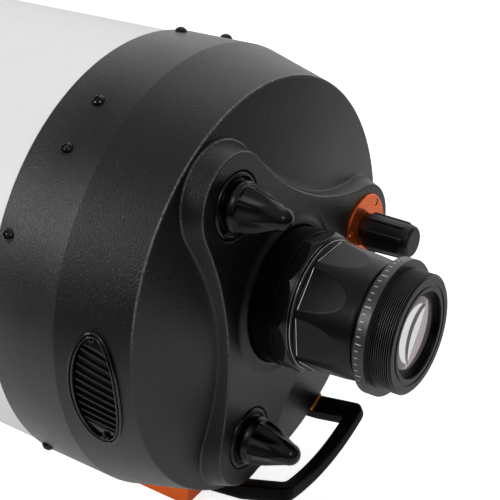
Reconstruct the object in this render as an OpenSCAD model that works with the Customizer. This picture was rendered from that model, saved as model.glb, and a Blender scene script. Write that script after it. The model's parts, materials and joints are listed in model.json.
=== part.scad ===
// Compound mirror telescope on a dovetail plate, with a focal reducer on its back.
// Row frame: +Y to the sky, +Z up, +X to the right of someone standing behind it.
// The origin is the middle of the dovetail plate's underside.
// Inside ota() the Z axis is the optical axis, counted rearwards from the rear cell's front rim,
// X stays X and Y is up. Angles are seen from behind, from +X towards up.

/* [Tube and cells] */
// Outer radius of both cells
cell_r = 165.5; // [160:0.5:175]
// Radial step from the cell's outside to the painted tube
tube_step = 2.5; // [2:0.1:4]
// Wall of the painted tube
tube_wall = 1.4; // [1:0.1:2.5]
// Distance between the two cells' rims that face each other
tube_gap = 418; // [380:1:470]
// Length of the front cell
front_cell_len = 52; // [50:1:60]
// Depth of the lip that takes the tube, in each cell
lip_depth = 22; // [18:1:24]
// Length of the rear cell's straight band
band_len = 60; // [58:0.5:66]
// Station of the rear cell's sharp edge
edge_s = 108; // [104:0.5:112]
// Half angle of the rear cell's conical band
band_angle = 15; // [12:0.5:17]
// Wall of the castings
cast_wall = 6; // [5:0.5:8]
// Radial width of the front cell around the corrector's clear aperture
aperture_ring = 25.5; // [24:0.5:29]

/* [Raised lobes] */
// Station of the top plane of the lobes
lobe_top_s = 124; // [122:0.5:128]
// Radius of each lobe at its top
lobe_r = 35; // [33:0.5:37]
// How far each lobe's middle lies inside the cell's outer radius
lobe_inset = 57.5; // [55:0.5:61]
// Smallest radius of the raised part, between two lobes
waist_r = 71; // [68:0.5:76]
// How far the lobes' sloping side spreads towards its foot
lobe_spread = 5; // [3:0.5:7]

/* [Focus drive] */
// Radius of the orange retaining plate
focus_plate_r = 28; // [26:0.2:31]
// Radius over the ribs of the rubber focus knob, at its foot
focus_knob_r = 15.6; // [14:0.2:18]
// Station of the focus knob's rear end
focus_knob_end_s = 166.8; // [160:0.1:175]
// Radius of the focus screw
focus_screw_r = 4; // [3:0.1:5]
// Ribs around the focus knob
focus_ribs = 8; // [6:1:12]

/* [Mirror clutches] */
// How far each clutch lies inside its lobe's middle
clutch_inset = 0.5; // [0:0.1:1]
// Radius of the clutch knob's flange
clutch_flange_r = 22.7; // [21:0.1:24]
// Radius of the clutch knob's ridges at their foot
clutch_ridge_r = 20; // [18:0.2:20.6]
// Station of the clutch knob's tip
clutch_tip_s = 167; // [164:0.5:172]
// Radius of the clutch rods
clutch_rod_r = 3; // [2.5:0.1:3.4]

/* [Mirrors] */
// Radial room between the cell's outside and the edge of the primary mirror
primary_room = 24; // [20:0.5:27]
// Radius of curvature of the primary mirror
primary_curve = 1120; // [1000:10:1300]
// Station of the primary mirror's vertex
primary_vertex_s = 20; // [18:0.5:22]
// Station of the primary mirror's flat back
primary_back_s = 40; // [38:0.5:42]
// Radius of the secondary mirror
secondary_r = 34; // [30:0.5:35]
// Radius of the secondary baffle, which is the central obstruction
obstruction_r = 47.5; // [46:0.5:52]
// Outer radius of the baffle tube that the mirror slides on
baffle_r = 25; // [23:0.5:27]
// Length of the baffle tube in front of the rear cell's rim
baffle_reach = 190; // [150:5:220]

/* [Reducer] */
// Outer radius of the hub on the rear cell
hub_r = 49.5; // [48:0.5:52]
// Length of the hub's wide part
hub_len = 19.5; // [18:0.5:22]
// Corner radius of the ten-sided lock ring
lock_corner_r = 50.8; // [50:0.2:54]
// Largest radius of the reducer's body
reducer_r = 46.5; // [45.5:0.5:48]
// Distance of the body's eight flats from the axis, at their foot
flat_r = 44.1; // [43.5:0.1:45]
// Outer radius of the index ring
index_r = 47.7; // [46:0.1:49]
// Radius over the crests of the camera thread
thread_r = 41.8; // [41:0.1:43]
// Pitch of the camera thread
thread_pitch = 1.5875; // [1.25:0.0125:2]
// Radius of the reducer's rear bore
port_r = 30.3; // [28:0.1:32]

/* [Vents] */
// Length of the vent frame around the cell
vent_len = 86; // [80:1:92]
// Width of the vent frame along the axis
vent_w = 35; // [30:0.5:37]
// Slats in each vent
vent_slats = 10; // [6:1:12]

/* [Carry handle] */
// Where the handle's middle is
handle_angle = 274; // [266:1:282]
// Half of the angle that the handle spans
handle_half = 22.3; // [21.5:0.1:24]
// Half of the angle of the hand gap
handle_gap_half = 16.5; // [15:0.1:17]
// Thickness of the handle's bar
handle_t = 13; // [11:0.5:15]
// Station of the handle's rear edge
handle_end_s = 149; // [145:0.5:155]
// Width of the grip along the axis
grip_w = 13; // [11:0.5:16]
// Thickness of the orange spacers
spacer_t = 3.5; // [2.5:0.1:5]

/* [Dovetail] */
// Width of the dovetail plate at its underside
plate_w = 100; // [94:1:102]
// Thickness of the dovetail plate
plate_t = 14; // [12:0.5:18]
// Angle of the plate's sides from upright
plate_bevel = 15; // [12:1:18]
// Height of the radius blocks at their middle
block_h = 12; // [10:0.5:18]
// Width of the radius blocks
block_w = 70; // [60:1:80]

/* [Fasteners] */
// Radius of the domed screw heads
head_r = 4.8; // [4:0.1:5.2]
// Height of the domed screw heads
head_h = 3.3; // [2.5:0.1:4]
// Radius of the cell screws' shanks
shank_r = 2; // [1.5:0.1:2.5]

/* [Hidden] */
$fn = 96;

// Clearances: parts that are fitted, that run in each other, and that stay well apart
fit_gap = 0.1;
run_gap = 0.05;
free_gap = 0.3;
face_gap = 0.1;
eps = 0.01;
over = 1;

// Stations along the optical axis
tube_r = cell_r - tube_step;
aperture_r = cell_r - aperture_ring;
primary_r = cell_r - primary_room;
lobe_pitch_r = cell_r - lobe_inset;
clutch_pitch_r = lobe_pitch_r - clutch_inset;
front_rim_s = -tube_gap - front_cell_len;
front_cell_back_s = -tube_gap;
lobe_foot_s = 110;
wall_s = edge_s - cast_wall;
back_s = edge_s + 9;
back_r = 73;
wall_mid_s = back_s - cast_wall;
hub_s = lobe_top_s;
lock_s = hub_s + hub_len + 0.5;

// Rear cell
band2_r = cell_r - 0.9;
edge_r = band2_r - (edge_s - band_len) * tan(band_angle);
cavity_r = cell_r - 9.5;
boss_r = 42;
boss_s = 100;
bore_r = baffle_r + fit_gap;

// The raised part: the circle of the concave side between two lobes touches both lobes
lobes = [0, 120, 240];
scoop_pitch_r = (pow(lobe_pitch_r, 2) - pow(lobe_r - waist_r, 2))
    / (lobe_pitch_r - 2 * (waist_r - lobe_r));
scoop_r = scoop_pitch_r - waist_r;
scoop_gap = 0.1;

// Screws round the cells
tube_screw_s = 8.8;
tube_screw_angles = [20, 74, 150, 213, 285, 335];
front_screw_angles = [30, 90, 150, 210, 270, 330];
accessory_s = 28.3;
accessory_angles = [57, 121];
accessory_half = 6.8;
accessory_shank_r = 2.5;
tube_shank = 6;
accessory_shank = 9;

// Front cell and corrector
front_bore_r = aperture_r + 10;
cap_seat_len = 8;
cap_seat_s = front_rim_s + 1 + cap_seat_len;
cap_relief = 2.5;
front_taper = 5;
front_bevel = 7;
seat_s = front_rim_s + 28;
seat_t = 5;
corrector_r = aperture_r + 3.5;
corrector_t = 5;
corrector_hole_r = 43;
retainer_t = 3;
retainer_r = front_bore_r - 0.4;
retainer_screws = 8;
retainer_screw_r = aperture_r + 7;

// Secondary mirror
holder_r = corrector_hole_r - free_gap;
holder_bore_r = 37;
holder_flange_t = 4.8;
corrector_front_s = seat_s - corrector_t;
secondary_cell_r = holder_bore_r - fit_gap;
tilt_pivot_s = seat_s + 14;
tilt_t = 6;
mirror_t = 10;
secondary_curve = 400;
collimation_r = 22;
collimation_screw_r = 2;
collimation_head_r = 4;
pivot_r = 3;
baffle_cup_len = 58;
baffle_cup_wall = 1.5;

// Focus drive
journal_r = focus_screw_r + 1;
bearing_r = 12;
bearing_s = 98;
focus_plate_t = 3.8;
focus_plate_screw_r = focus_plate_r - 5;
focus_plate_screw_angles = [45, 165, 285];
focus_plate_s = lobe_top_s - 2.2;
knob_s = focus_plate_s + focus_plate_t + 1.5;
knob_core_r = 8;
knob_core_end_s = knob_s + 24;
rib_r = 1.4;
rib_len = 32;
rib_angle = 19;
rib_lean = 1.5;
nut_r = 9;
nut_end_s = 78;
nut_grip = 16;
screw_tip_s = 52;

// Mirror carriage
slider_r = baffle_r + 6;
slider_front_s = primary_vertex_s - 32;
carrier_t = 6;
slider_flange_t = 6;
slider_flange = 28;
carrier_rim = 22;
carrier_s = primary_back_s + slider_flange_t;
arm_w = 26;
arm_end_r = lobe_pitch_r + 12;

// Clutches
bush_r = 11;
bush_s = 96;
clutch_recess = 3;
clutch_flange_s = lobe_top_s - 2.6;
clutch_flange_t = 3.4;
neck_r = 8;
neck_end_s = clutch_flange_s + 14;
clutch_nut_s = neck_end_s + 1.6;
clutch_nut_t = 4;
rod_end_s = 146;
flutes = 6;
flute_bottom_r = 14.8;
flute_cut_r = 11;
flute_angle = 37;
flute_lean = 11.5;
knob_neck_r = 17.2;
nose_r = 8;

// Hub, lock ring and reducer
hub_bore_r = 34;
hub_floor_t = 6;
spigot_r = 45;
spigot_end_s = lock_s + 6;
flange_t = 2.9;
lock_sides = 10;
lock_turn = 26;
lock_chamfer = 5.2;
lock_lip_s = spigot_end_s + flange_t + 0.3;
lock_end_s = lock_s + 12.2;
lock_lip_r = 45.2;
reducer_neck_r = 41.2;
reducer_foot_s = lock_end_s + 1.8;
taper_s = 197;
reducer_waist_r = 42;
gap_r = 40.8;
index_s = 204.7;
index_w = 8.2;
nose_s = index_s + index_w;
nose_len = 15.9;
thread_crests = 10;
thread_depth = 0.9;
pilot_s = 132;
nose_seat_r = 38;
reducer_bore_r = 34;
flats = 8;
flat_len = 34;
flat_tilt = 1.45;

// Vents
vent_s = 82.3;
vent_left = 181;
vent_right = 359;
vent_sides = [vent_left, vent_right];
slat_lean = 24;
slat_t = 1.8;
vent_rim = 4;
vent_proud = 2;
vent_depth = 4;
vent_screw_y = vent_len / 2 - 3.5;
vent_screw_r = 2.6;
vent_screw_len = 7;

// Handle
foot_s = 80;
foot_t = 9;
handle_slope = 17;
handle_screw_s = 94;
handle_screw_half = (handle_half + handle_gap_half) / 2;

// Field lens
baffle_wall = 2.2;
field_s = 34;
field_t = 7;
field_r = baffle_r - baffle_wall - fit_gap;

// Dovetail
plate_front_s = front_rim_s + 2;
plate_rear_s = 56;
block_len = 24;
front_block_s = front_rim_s + front_bevel + 1;
rear_block_s = plate_rear_s - block_len - 4;
block_screw_x = 22;
plate_screw_r = 3;
plate_head_r = 5.5;
plate_screw_bite = 5;
axis_h = cell_r + block_h + plate_t;
mid_s = (plate_front_s + plate_rear_s) / 2;

function band2_at(s) = band2_r - (s - band_len) * tan(band_angle);

function arc(x, y, r, a0, a1, n = 6) =
    [for (i = [0:n]) [x + r * cos(a0 + (a1 - a0) * i / n), y + r * sin(a0 + (a1 - a0) * i / n)]];

function oval(a, b, n = 48) = [for (i = [0:n - 1]) [a * cos(360 * i / n), b * sin(360 * i / n)]];

// Sag of a sphere of radius c at distance r from its pole
function sag(r, c) = c - sqrt(c * c - r * r);

// Profile of a spherical face from radius r1 to r0; its pole is at s and it falls forwards when c > 0
function curve(r1, r0, s, c, n = 12) =
    [for (i = [0:n]) let (r = r1 + (r0 - r1) * i / n) [r, s - sign(c) * sag(r, abs(c))]];

// From the optical frame to the row frame
module ota() { translate([0, mid_s, axis_h]) rotate([90, 0, 0]) children(); }

module polar(r, a) { rotate([0, 0, a]) translate([r, 0, 0]) children(); }

// Places children on a cylinder's surface, with +Z outwards
module outward(r, a, s) { rotate([0, 0, a]) translate([r, 0, s]) rotate([0, 90, 0]) children(); }

module tube(r_out, r_in, s0, s1) {
    difference() {
        translate([0, 0, s0]) cylinder(r = r_out, h = s1 - s0);
        translate([0, 0, s0 - over]) cylinder(r = r_in, h = s1 - s0 + 2 * over);
    }
}

module rod(r, s0, s1) { translate([0, 0, s0]) cylinder(r = r, h = s1 - s0); }

// Domed cross-head screw: the head stands on Z = 0 and the shank goes down
module domed_screw(hr, hh, sr, len) {
    dome = (hr * hr + hh * hh) / (2 * hh);
    half = asin(hr / dome);
    difference() {
        union() {
            rotate_extrude() polygon(concat([[0, 0], [hr, 0]], arc(0, hh - dome, dome, 90 - half, 90, 8)));
            rod(sr, -len, eps);
        }
        for (a = [0, 90]) rotate([0, 0, a]) translate([-hr * 0.55, -hr * 0.12, hh * 0.45])
            cube([hr * 1.1, hr * 0.24, hh]);
    }
}

// Flat-headed screw, head flush with Z = 0, shank downwards
module flush_screw(hr, sr, len) {
    difference() {
        rotate_extrude() polygon([[0, 0], [hr, 0], [sr, -(hr - sr)], [sr, -len], [0, -len]]);
        translate([0, 0, -hr * 0.35]) cylinder(r = hr * 0.42, h = hr, $fn = 6);
    }
}

// ---- Tube and cells ----

module optical_tube() {
    color("whitesmoke") ota() difference() {
        tube(tube_r, tube_r - tube_wall, front_cell_back_s - lip_depth + 2, lip_depth - 2);
        for (a = tube_screw_angles) outward(tube_r - tube_shank, a, tube_screw_s)
            cylinder(r = shank_r + fit_gap, h = 2 * tube_shank);
        for (a = front_screw_angles)
            outward(tube_r - tube_shank, a, front_cell_back_s - tube_screw_s)
                cylinder(r = shank_r + fit_gap, h = 2 * tube_shank);
    }
}

// The raised part: three lobes joined by concave sides. Its side spreads towards the foot, and
// each pair holds a station and the spread there. The core ends inside the lobes.
module lobe_relief() {
    side = [[lobe_foot_s - 4, lobe_spread + 1.4], [lobe_top_s - 1, 0.5], [lobe_top_s, -0.4]];
    foot = side[0] - (side[1] - side[0]) / (side[1][0] - side[0][0]) * over;
    top = side[2] + (side[2] - side[1]) * over;
    reach = lobe_r + side[0][1] + 3;
    touch = [lobe_pitch_r, 0] + reach / (lobe_r + scoop_r)
        * [scoop_pitch_r * cos(60) - lobe_pitch_r, scoop_pitch_r * sin(60)];
    difference() {
        translate([0, 0, side[0][0]]) linear_extrude(lobe_top_s - side[0][0])
            polygon([for (a = lobes, b = [-1, 1])
                [touch[0] * cos(a) - b * touch[1] * sin(a), touch[0] * sin(a) + b * touch[1] * cos(a)]]);
        for (a = lobes) polar(scoop_pitch_r, a + 60) rotate_extrude($fn = 360) polygon(concat(
            [[0, foot[0]]], [for (p = [foot, side[1], top]) [scoop_r - scoop_gap - p[1], p[0]]],
            [[0, top[0]]]));
    }
    for (a = lobes) polar(lobe_pitch_r, a) rotate_extrude() polygon(concat([[0, side[0][0]]],
        [for (p = side) [lobe_r + p[1], p[0]]], [[0, lobe_top_s]]));
}

module rear_cell_outside() {
    rotate_extrude($fn = 180) polygon(concat(
        [[0, 0], [cell_r - 0.8, 0], [cell_r, 0.8], [cell_r, band_len - 14]],
        [[cell_r - 0.2, band_len - 6], [band2_r, band_len]],
        [[edge_r + 0.4, edge_s - 1.5], [edge_r, edge_s - 0.4], [edge_r - 1.2, edge_s + 0.1]],
        [[back_r, back_s], [0, back_s]]));
    lobe_relief();
}

module rear_cell_cavity() {
    rotate_extrude($fn = 180) polygon([
        [0, -over], [tube_r + fit_gap, -over], [tube_r + fit_gap, lip_depth],
        [cavity_r, lip_depth], [cavity_r, band_len], [edge_r - cast_wall - 0.5, wall_s],
        [back_r, wall_mid_s - 2], [boss_r + 6, wall_mid_s - 2], [boss_r, boss_s], [0, boss_s]]);
}

module rear_cell() {
    color([0.10, 0.10, 0.11]) ota() difference() {
        rear_cell_outside();
        rear_cell_cavity();
        rod(bore_r, boss_s - over, lobe_top_s + over);
        polar(lobe_pitch_r, 0) {
            rod(bearing_r + fit_gap, wall_s - 20, lobe_top_s + over);
            rod(focus_plate_r + fit_gap, focus_plate_s, lobe_top_s + over);
            for (a = focus_plate_screw_angles) polar(focus_plate_screw_r, a)
                rod(1.2 + fit_gap, focus_plate_s - 8, lobe_top_s);
        }
        for (a = [120, 240]) polar(clutch_pitch_r, a) {
            rod(bush_r + fit_gap, wall_s - 20, lobe_top_s + over);
            rod(clutch_flange_r + 0.7, lobe_top_s - clutch_recess, lobe_top_s + over);
        }
        for (a = tube_screw_angles) outward(tube_r - over, a, tube_screw_s)
            cylinder(r = shank_r + fit_gap, h = 3 * over + tube_step);
        for (a = accessory_angles, b = [-1, 1])
            outward(cell_r - accessory_shank - 0.4, a + b * accessory_half, accessory_s)
                cylinder(r = accessory_shank_r + fit_gap, h = accessory_shank + over);
        for (a = vent_sides) outward(edge_r - 16, a, vent_s)
            linear_extrude(40)
                polygon([for (p = oval(vent_len / 2 - vent_rim, vent_w / 2 - vent_rim)) [p[1], p[0]]]);
        for (a = vent_sides, b = [-1, 1]) vent_screw_place(a, b) rod(1.1, -vent_screw_len, over);
        for (a = [-1, 1])
            outward(band2_at(handle_screw_s) - 6, handle_angle + a * handle_screw_half, handle_screw_s)
                cylinder(r = plate_screw_r + fit_gap, h = 12);
        for (x = [-1, 1]) translate([x * block_screw_x, -cavity_r - 2, rear_block_s + block_len / 2])
            rotate([90, 0, 0]) cylinder(r = plate_screw_r + fit_gap, h = 20);
    }
}

module tube_screws() {
    color([0.05, 0.05, 0.05]) ota() for (a = tube_screw_angles)
        outward(cell_r, a, tube_screw_s) domed_screw(head_r, head_h, shank_r, tube_shank);
}

module accessory_screws() {
    color([0.05, 0.05, 0.05]) ota() for (a = accessory_angles, b = [-1, 1])
        outward(cell_r, a + b * accessory_half, accessory_s)
            domed_screw(head_r, head_h, accessory_shank_r, accessory_shank);
}

module front_cell() {
    color([0.10, 0.10, 0.11]) ota() difference() {
        rotate_extrude($fn = 180) polygon([
            [tube_r + fit_gap, front_cell_back_s], [cell_r - 0.8, front_cell_back_s],
            [cell_r, front_cell_back_s - 0.8], [cell_r, front_rim_s + front_bevel],
            [cell_r - front_taper, front_rim_s + 1], [cell_r - front_taper - 1, front_rim_s],
            [front_bore_r + 1, front_rim_s], [front_bore_r, front_rim_s + 1],
            [front_bore_r, cap_seat_s], [front_bore_r + cap_relief, cap_seat_s + cap_relief],
            [front_bore_r + cap_relief, corrector_front_s],
            [corrector_r + free_gap, corrector_front_s],
            [corrector_r + free_gap, seat_s], [aperture_r + 1, seat_s], [aperture_r + 1, seat_s + seat_t],
            [tube_r - tube_wall - 2, front_cell_back_s - lip_depth],
            [tube_r + fit_gap, front_cell_back_s - lip_depth]]);
        for (a = front_screw_angles)
            outward(tube_r - over, a, front_cell_back_s - tube_screw_s)
                cylinder(r = shank_r + fit_gap, h = 3 * over + tube_step);
        for (x = [-1, 1])
            translate([x * block_screw_x, -front_bore_r - 3, front_block_s + block_len / 2])
                rotate([90, 0, 0]) cylinder(r = plate_screw_r + fit_gap, h = 20);
    }
}

module front_cell_screws() {
    color([0.05, 0.05, 0.05]) ota() for (a = front_screw_angles)
        outward(cell_r, a, front_cell_back_s - tube_screw_s)
            domed_screw(head_r, head_h, shank_r, tube_shank);
}

// ---- Corrector and secondary ----

module corrector_retainer() {
    color([0.08, 0.08, 0.09]) ota() difference() {
        rotate_extrude($fn = 180) polygon([
            [aperture_r, corrector_front_s - 1], [aperture_r + 1.2, corrector_front_s - retainer_t],
            [retainer_r, corrector_front_s - retainer_t], [retainer_r, corrector_front_s],
            [aperture_r, corrector_front_s]]);
        for (i = [0:retainer_screws - 1]) polar(retainer_screw_r, (i + 0.5) * 360 / retainer_screws)
            rod(1.3, corrector_front_s - retainer_t - over, corrector_front_s + over);
    }
}

module corrector_screws() {
    color([0.05, 0.05, 0.05]) ota()
        for (i = [0:retainer_screws - 1]) polar(retainer_screw_r, (i + 0.5) * 360 / retainer_screws)
            translate([0, 0, corrector_front_s - retainer_t]) mirror([0, 0, 1])
                domed_screw(2.6, 1.6, 1.2, retainer_t - 0.2);
}

module corrector_plate() {
    color([0.75, 0.88, 0.85, 0.35]) ota()
        tube(corrector_r, corrector_hole_r, corrector_front_s, seat_s);
}

module secondary_holder() {
    front_s = corrector_front_s - holder_flange_t;
    color([0.07, 0.07, 0.07]) ota() difference() {
        union() {
            rotate_extrude() polygon([
                [0, front_s], [obstruction_r - 3, front_s], [obstruction_r, corrector_front_s - 2],
                [obstruction_r, corrector_front_s], [0, corrector_front_s]]);
            rod(holder_r, corrector_front_s - eps, seat_s + 6);
        }
        rod(holder_bore_r, front_s - over, seat_s + 6 + over);
    }
}

module secondary_baffle() {
    color([0.06, 0.06, 0.06]) ota() difference() {
        rod(obstruction_r, seat_s, seat_s + baffle_cup_len);
        rod(holder_r + fit_gap, seat_s - over, seat_s + 5);
        rod(obstruction_r - baffle_cup_wall, seat_s + 4, seat_s + baffle_cup_len + over);
    }
}

// Fixed cup that carries the collimation screws and the ball-ended pivot of the tilting plate
module secondary_cell() {
    front_s = corrector_front_s - holder_flange_t;
    color([0.10, 0.10, 0.11]) ota() difference() {
        union() {
            rod(secondary_cell_r, front_s, front_s + 6);
            tube(secondary_cell_r, secondary_cell_r - 1.6, front_s, seat_s + 5);
            rod(pivot_r * 0.8, front_s, tilt_pivot_s);
            translate([0, 0, tilt_pivot_s]) sphere(r = pivot_r);
        }
        for (a = [90, 210, 330]) polar(collimation_r, a) {
            rod(collimation_screw_r + run_gap, front_s - over, front_s + 6 + over);
            rod(collimation_head_r + free_gap, front_s - over, front_s + 2);
        }
    }
}

module secondary_lock_ring() {
    front_s = corrector_front_s - holder_flange_t;
    color([0.12, 0.12, 0.13]) ota() difference() {
        rod(obstruction_r - 2, front_s - 7, front_s - face_gap);
        rod(secondary_cell_r - 3, front_s - 7 - over, front_s + over);
        for (i = [0:35]) polar(obstruction_r - 1.3, i * 10) rod(1.3, front_s - 7 - over, front_s + over);
    }
}

module secondary_tilt_plate() {
    color("silver") ota() difference() {
        rod(secondary_r - 2, tilt_pivot_s, tilt_pivot_s + tilt_t);
        translate([0, 0, tilt_pivot_s]) sphere(r = pivot_r + run_gap);
        for (a = [90, 210, 330]) polar(collimation_r, a)
            rod(collimation_screw_r + free_gap, tilt_pivot_s - over, tilt_pivot_s + tilt_t - 1);
    }
}

module secondary_mirror() {
    s0 = tilt_pivot_s + tilt_t;
    color([0.86, 0.88, 0.90]) ota() rotate_extrude()
        polygon(concat([[0, s0], [secondary_r, s0]],
            curve(secondary_r, 0, s0 + mirror_t, secondary_curve)));
}

module collimation_screw(a) {
    front_s = corrector_front_s - holder_flange_t;
    color([0.55, 0.55, 0.57]) ota() polar(collimation_r, a) difference() {
        union() {
            rod(collimation_head_r, front_s - 3, front_s + 2 - face_gap);
            rod(collimation_screw_r, front_s, tilt_pivot_s + tilt_t - 2);
        }
        translate([0, 0, front_s - 3 - eps]) cylinder(r = collimation_head_r * 0.5, h = 2, $fn = 6);
    }
}

module collimation_screw_top() { collimation_screw(90); }
module collimation_screw_left() { collimation_screw(210); }
module collimation_screw_right() { collimation_screw(330); }

// ---- Dovetail ----

module dovetail_plate() {
    top_w = plate_w - 2 * plate_t * tan(plate_bevel);
    len = plate_rear_s - plate_front_s;
    color([0.85, 0.36, 0.12]) ota() difference() {
        translate([0, -axis_h, plate_front_s]) linear_extrude(len) polygon([
            [-plate_w / 2 + 0.5, 0], [plate_w / 2 - 0.5, 0], [plate_w / 2, 0.8],
            [top_w / 2, plate_t], [-top_w / 2, plate_t], [-plate_w / 2, 0.8]]);
        dovetail_screw_places() rotate_extrude() polygon([
            [0, over], [plate_head_r + fit_gap, over], [plate_head_r + fit_gap, 0],
            [plate_screw_r + fit_gap, plate_screw_r - plate_head_r],
            [plate_screw_r + fit_gap, -40], [0, -40]]);
    }
}

// Four places on the plate's underside, +Z pointing out of it
module dovetail_screw_places() {
    for (x = [-1, 1], s = [front_block_s + block_len / 2, rear_block_s + block_len / 2])
        translate([x * block_screw_x, -axis_h + 1, s]) rotate([90, 0, 0]) children();
}

module radius_block(s) {
    color([0.12, 0.12, 0.13]) ota() difference() {
        translate([-block_w / 2, -cell_r - block_h, s]) cube([block_w, block_h + 8, block_len]);
        rod(cell_r + fit_gap / 2, s - over, s + block_len + over);
        dovetail_screw_places() rod(plate_screw_r + fit_gap, -60, 0);
    }
}

module dovetail_rear_block() { radius_block(rear_block_s); }
module dovetail_front_block() { radius_block(front_block_s); }

module dovetail_screws() {
    color([0.6, 0.6, 0.62]) ota() dovetail_screw_places()
        flush_screw(plate_head_r, plate_screw_r, plate_t + block_h + plate_screw_bite);
}

// ---- Carry handle ----

// Profile of the handle's bar, distance from the axis against station: a foot along the band,
// then the bar sloping inwards, with rounded rear edges
module handle_profile() {
    gap_s = edge_s + 1.5;
    gap_r = band2_at(gap_s) + spacer_t;
    run = handle_end_s - gap_s;
    end_r = gap_r - run * tan(handle_slope);
    c = cos(handle_slope);
    n = sin(handle_slope);
    polygon(concat(
        [[band2_at(foot_s) + spacer_t, foot_s], [gap_r, gap_s]],
        arc(end_r + 2 * c, handle_end_s - 2 * n - 0.6, 2, 180 - handle_slope, 90 - handle_slope, 3),
        arc(end_r + (handle_t - 5) * c, handle_end_s + (handle_t - 5) * n - 5, 5, 90 - handle_slope,
            -handle_slope),
        [[gap_r + handle_t, gap_s], [band2_at(foot_s) + spacer_t + foot_t, foot_s + 2],
         [band2_at(foot_s) + spacer_t + foot_t - 2, foot_s]]));
}

module sector(half) { rotate([0, 0, handle_angle - half]) rotate_extrude(angle = 2 * half) children(); }

module carry_handle() {
    color([0.09, 0.09, 0.10]) ota() difference() {
        sector(handle_half) handle_profile();
        sector(handle_gap_half) translate([back_r, foot_s - over])
            square([cell_r, handle_end_s - grip_w - foot_s + over]);
        for (a = [-1, 1]) handle_screw_place(a) {
            cylinder(r = plate_screw_r + fit_gap, h = 60, center = true);
            translate([0, 0, foot_t - 4]) cylinder(r = plate_head_r + fit_gap, h = 30);
        }
    }
}

// A place on the band's surface at the middle of a handle foot, +Z outwards
module handle_screw_place(a) {
    outward(band2_at(handle_screw_s) + spacer_t, handle_angle + a * handle_screw_half, handle_screw_s)
        children();
}

module handle_spacers() {
    color([0.92, 0.50, 0.10]) ota() difference() {
        sector(handle_half) polygon([
            [band2_at(foot_s) + fit_gap / 2, foot_s], [band2_at(edge_s) + fit_gap / 2, edge_s],
            [band2_at(edge_s) + spacer_t - fit_gap / 2, edge_s],
            [band2_at(foot_s) + spacer_t - fit_gap / 2, foot_s]]);
        sector(handle_gap_half) translate([back_r, foot_s - over])
            square([cell_r, edge_s - foot_s + 2 * over]);
        for (a = [-1, 1]) handle_screw_place(a)
            cylinder(r = plate_screw_r + fit_gap, h = 60, center = true);
    }
}

module handle_screws() {
    color([0.05, 0.05, 0.05]) ota() for (a = [-1, 1]) handle_screw_place(a)
        translate([0, 0, foot_t - 4]) difference() {
            union() {
                cylinder(r = plate_head_r, h = 5);
                rod(plate_screw_r, 4 - foot_t - spacer_t - 5, eps);
            }
            translate([0, 0, 2.5]) cylinder(r = plate_head_r * 0.5, h = 5, $fn = 6);
        }
}

// ---- Vents ----

// Oval prism that stands out from the axis through a vent
module vent_prism(inset) {
    outward(edge_r - 18, 0, vent_s) linear_extrude(40)
        polygon([for (p = oval(vent_len / 2 - inset, vent_w / 2 - inset)) [p[1], p[0]]]);
}

// Layer of the conical band, from g0 to g1 outside the casting's surface
module band_layer(g0, g1) {
    h = 60;
    s0 = vent_s - h / 2;
    difference() {
        translate([0, 0, s0])
            cylinder(r1 = band2_at(s0) + g1, r2 = band2_at(s0 + h) + g1, h = h, $fn = 180);
        translate([0, 0, s0 - over])
            cylinder(r1 = band2_at(s0 - over) + g0, r2 = band2_at(s0 + h + over) + g0,
                h = h + 2 * over, $fn = 180);
    }
}

module vent_grille() {
    slat_pitch = (vent_len - 2 * vent_rim - 6) / vent_slats;
    intersection() {
        band_layer(fit_gap / 2, vent_proud);
        difference() {
            vent_prism(0);
            vent_prism(vent_rim);
        }
    }
    intersection() {
        band_layer(-vent_depth + 1, vent_proud - 0.8);
        difference() {
            vent_prism(vent_rim + fit_gap);
            vent_prism(vent_rim + 1.8);
        }
    }
    intersection() {
        band_layer(0.2, 0.9);
        difference() {
            vent_prism(vent_rim - eps);
            vent_prism(vent_rim + 1.8 - eps);
        }
    }
    intersection() {
        band_layer(-vent_depth + 1, -0.5);
        vent_prism(vent_rim + 1.7);
        union() {
            for (i = [0:vent_slats - 1])
                translate([edge_r - 20, (i - (vent_slats - 1) / 2) * slat_pitch, vent_s])
                    rotate([-slat_lean, 0, 0]) translate([0, -slat_t / 2, -vent_w])
                        cube([40, slat_t, 2 * vent_w]);
        }
    }
}

module vent_screw_place(a, b) {
    rotate([0, 0, a + b * atan(vent_screw_y / band2_at(vent_s))])
        translate([band2_at(vent_s), 0, vent_s]) rotate([0, 90 - band_angle, 0]) children();
}

module vent_grille_part(a) {
    color([0.09, 0.09, 0.09]) ota() difference() {
        rotate([0, 0, a]) vent_grille();
        for (b = [-1, 1]) vent_screw_place(a, b) {
            rod(1.1, -vent_screw_len, vent_proud + over);
            rod(vent_screw_r + fit_gap, vent_proud - 0.8, 10);
        }
    }
}

module vent_grille_left() { vent_grille_part(vent_left); }
module vent_grille_right() { vent_grille_part(vent_right); }

module vent_meshes() {
    color([0.25, 0.25, 0.26]) ota() for (a = vent_sides) difference() {
        rotate([0, 0, a]) intersection() {
            band_layer(-vent_depth, -vent_depth + 0.8);
            vent_prism(vent_rim + 0.4);
        }
        for (b = [-1, 1]) vent_screw_place(a, b) rod(1.1, -vent_screw_len, vent_proud);
    }
}

module vent_screws() {
    color([0.05, 0.05, 0.05]) ota() for (a = vent_sides, b = [-1, 1]) vent_screw_place(a, b)
        translate([0, 0, vent_proud - 0.8]) domed_screw(vent_screw_r, 1.5, 1, vent_screw_len);
}

// ---- Baffle tube and field lens ----

module baffle_tube() {
    color([0.10, 0.10, 0.10]) ota() difference() {
        union() {
            rod(baffle_r, -baffle_reach, hub_s + hub_floor_t);
            rod(boss_r - 6, boss_s - 4, boss_s);
        }
        rod(baffle_r - baffle_wall, -baffle_reach - over, hub_s + hub_floor_t + over);
    }
}

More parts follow.
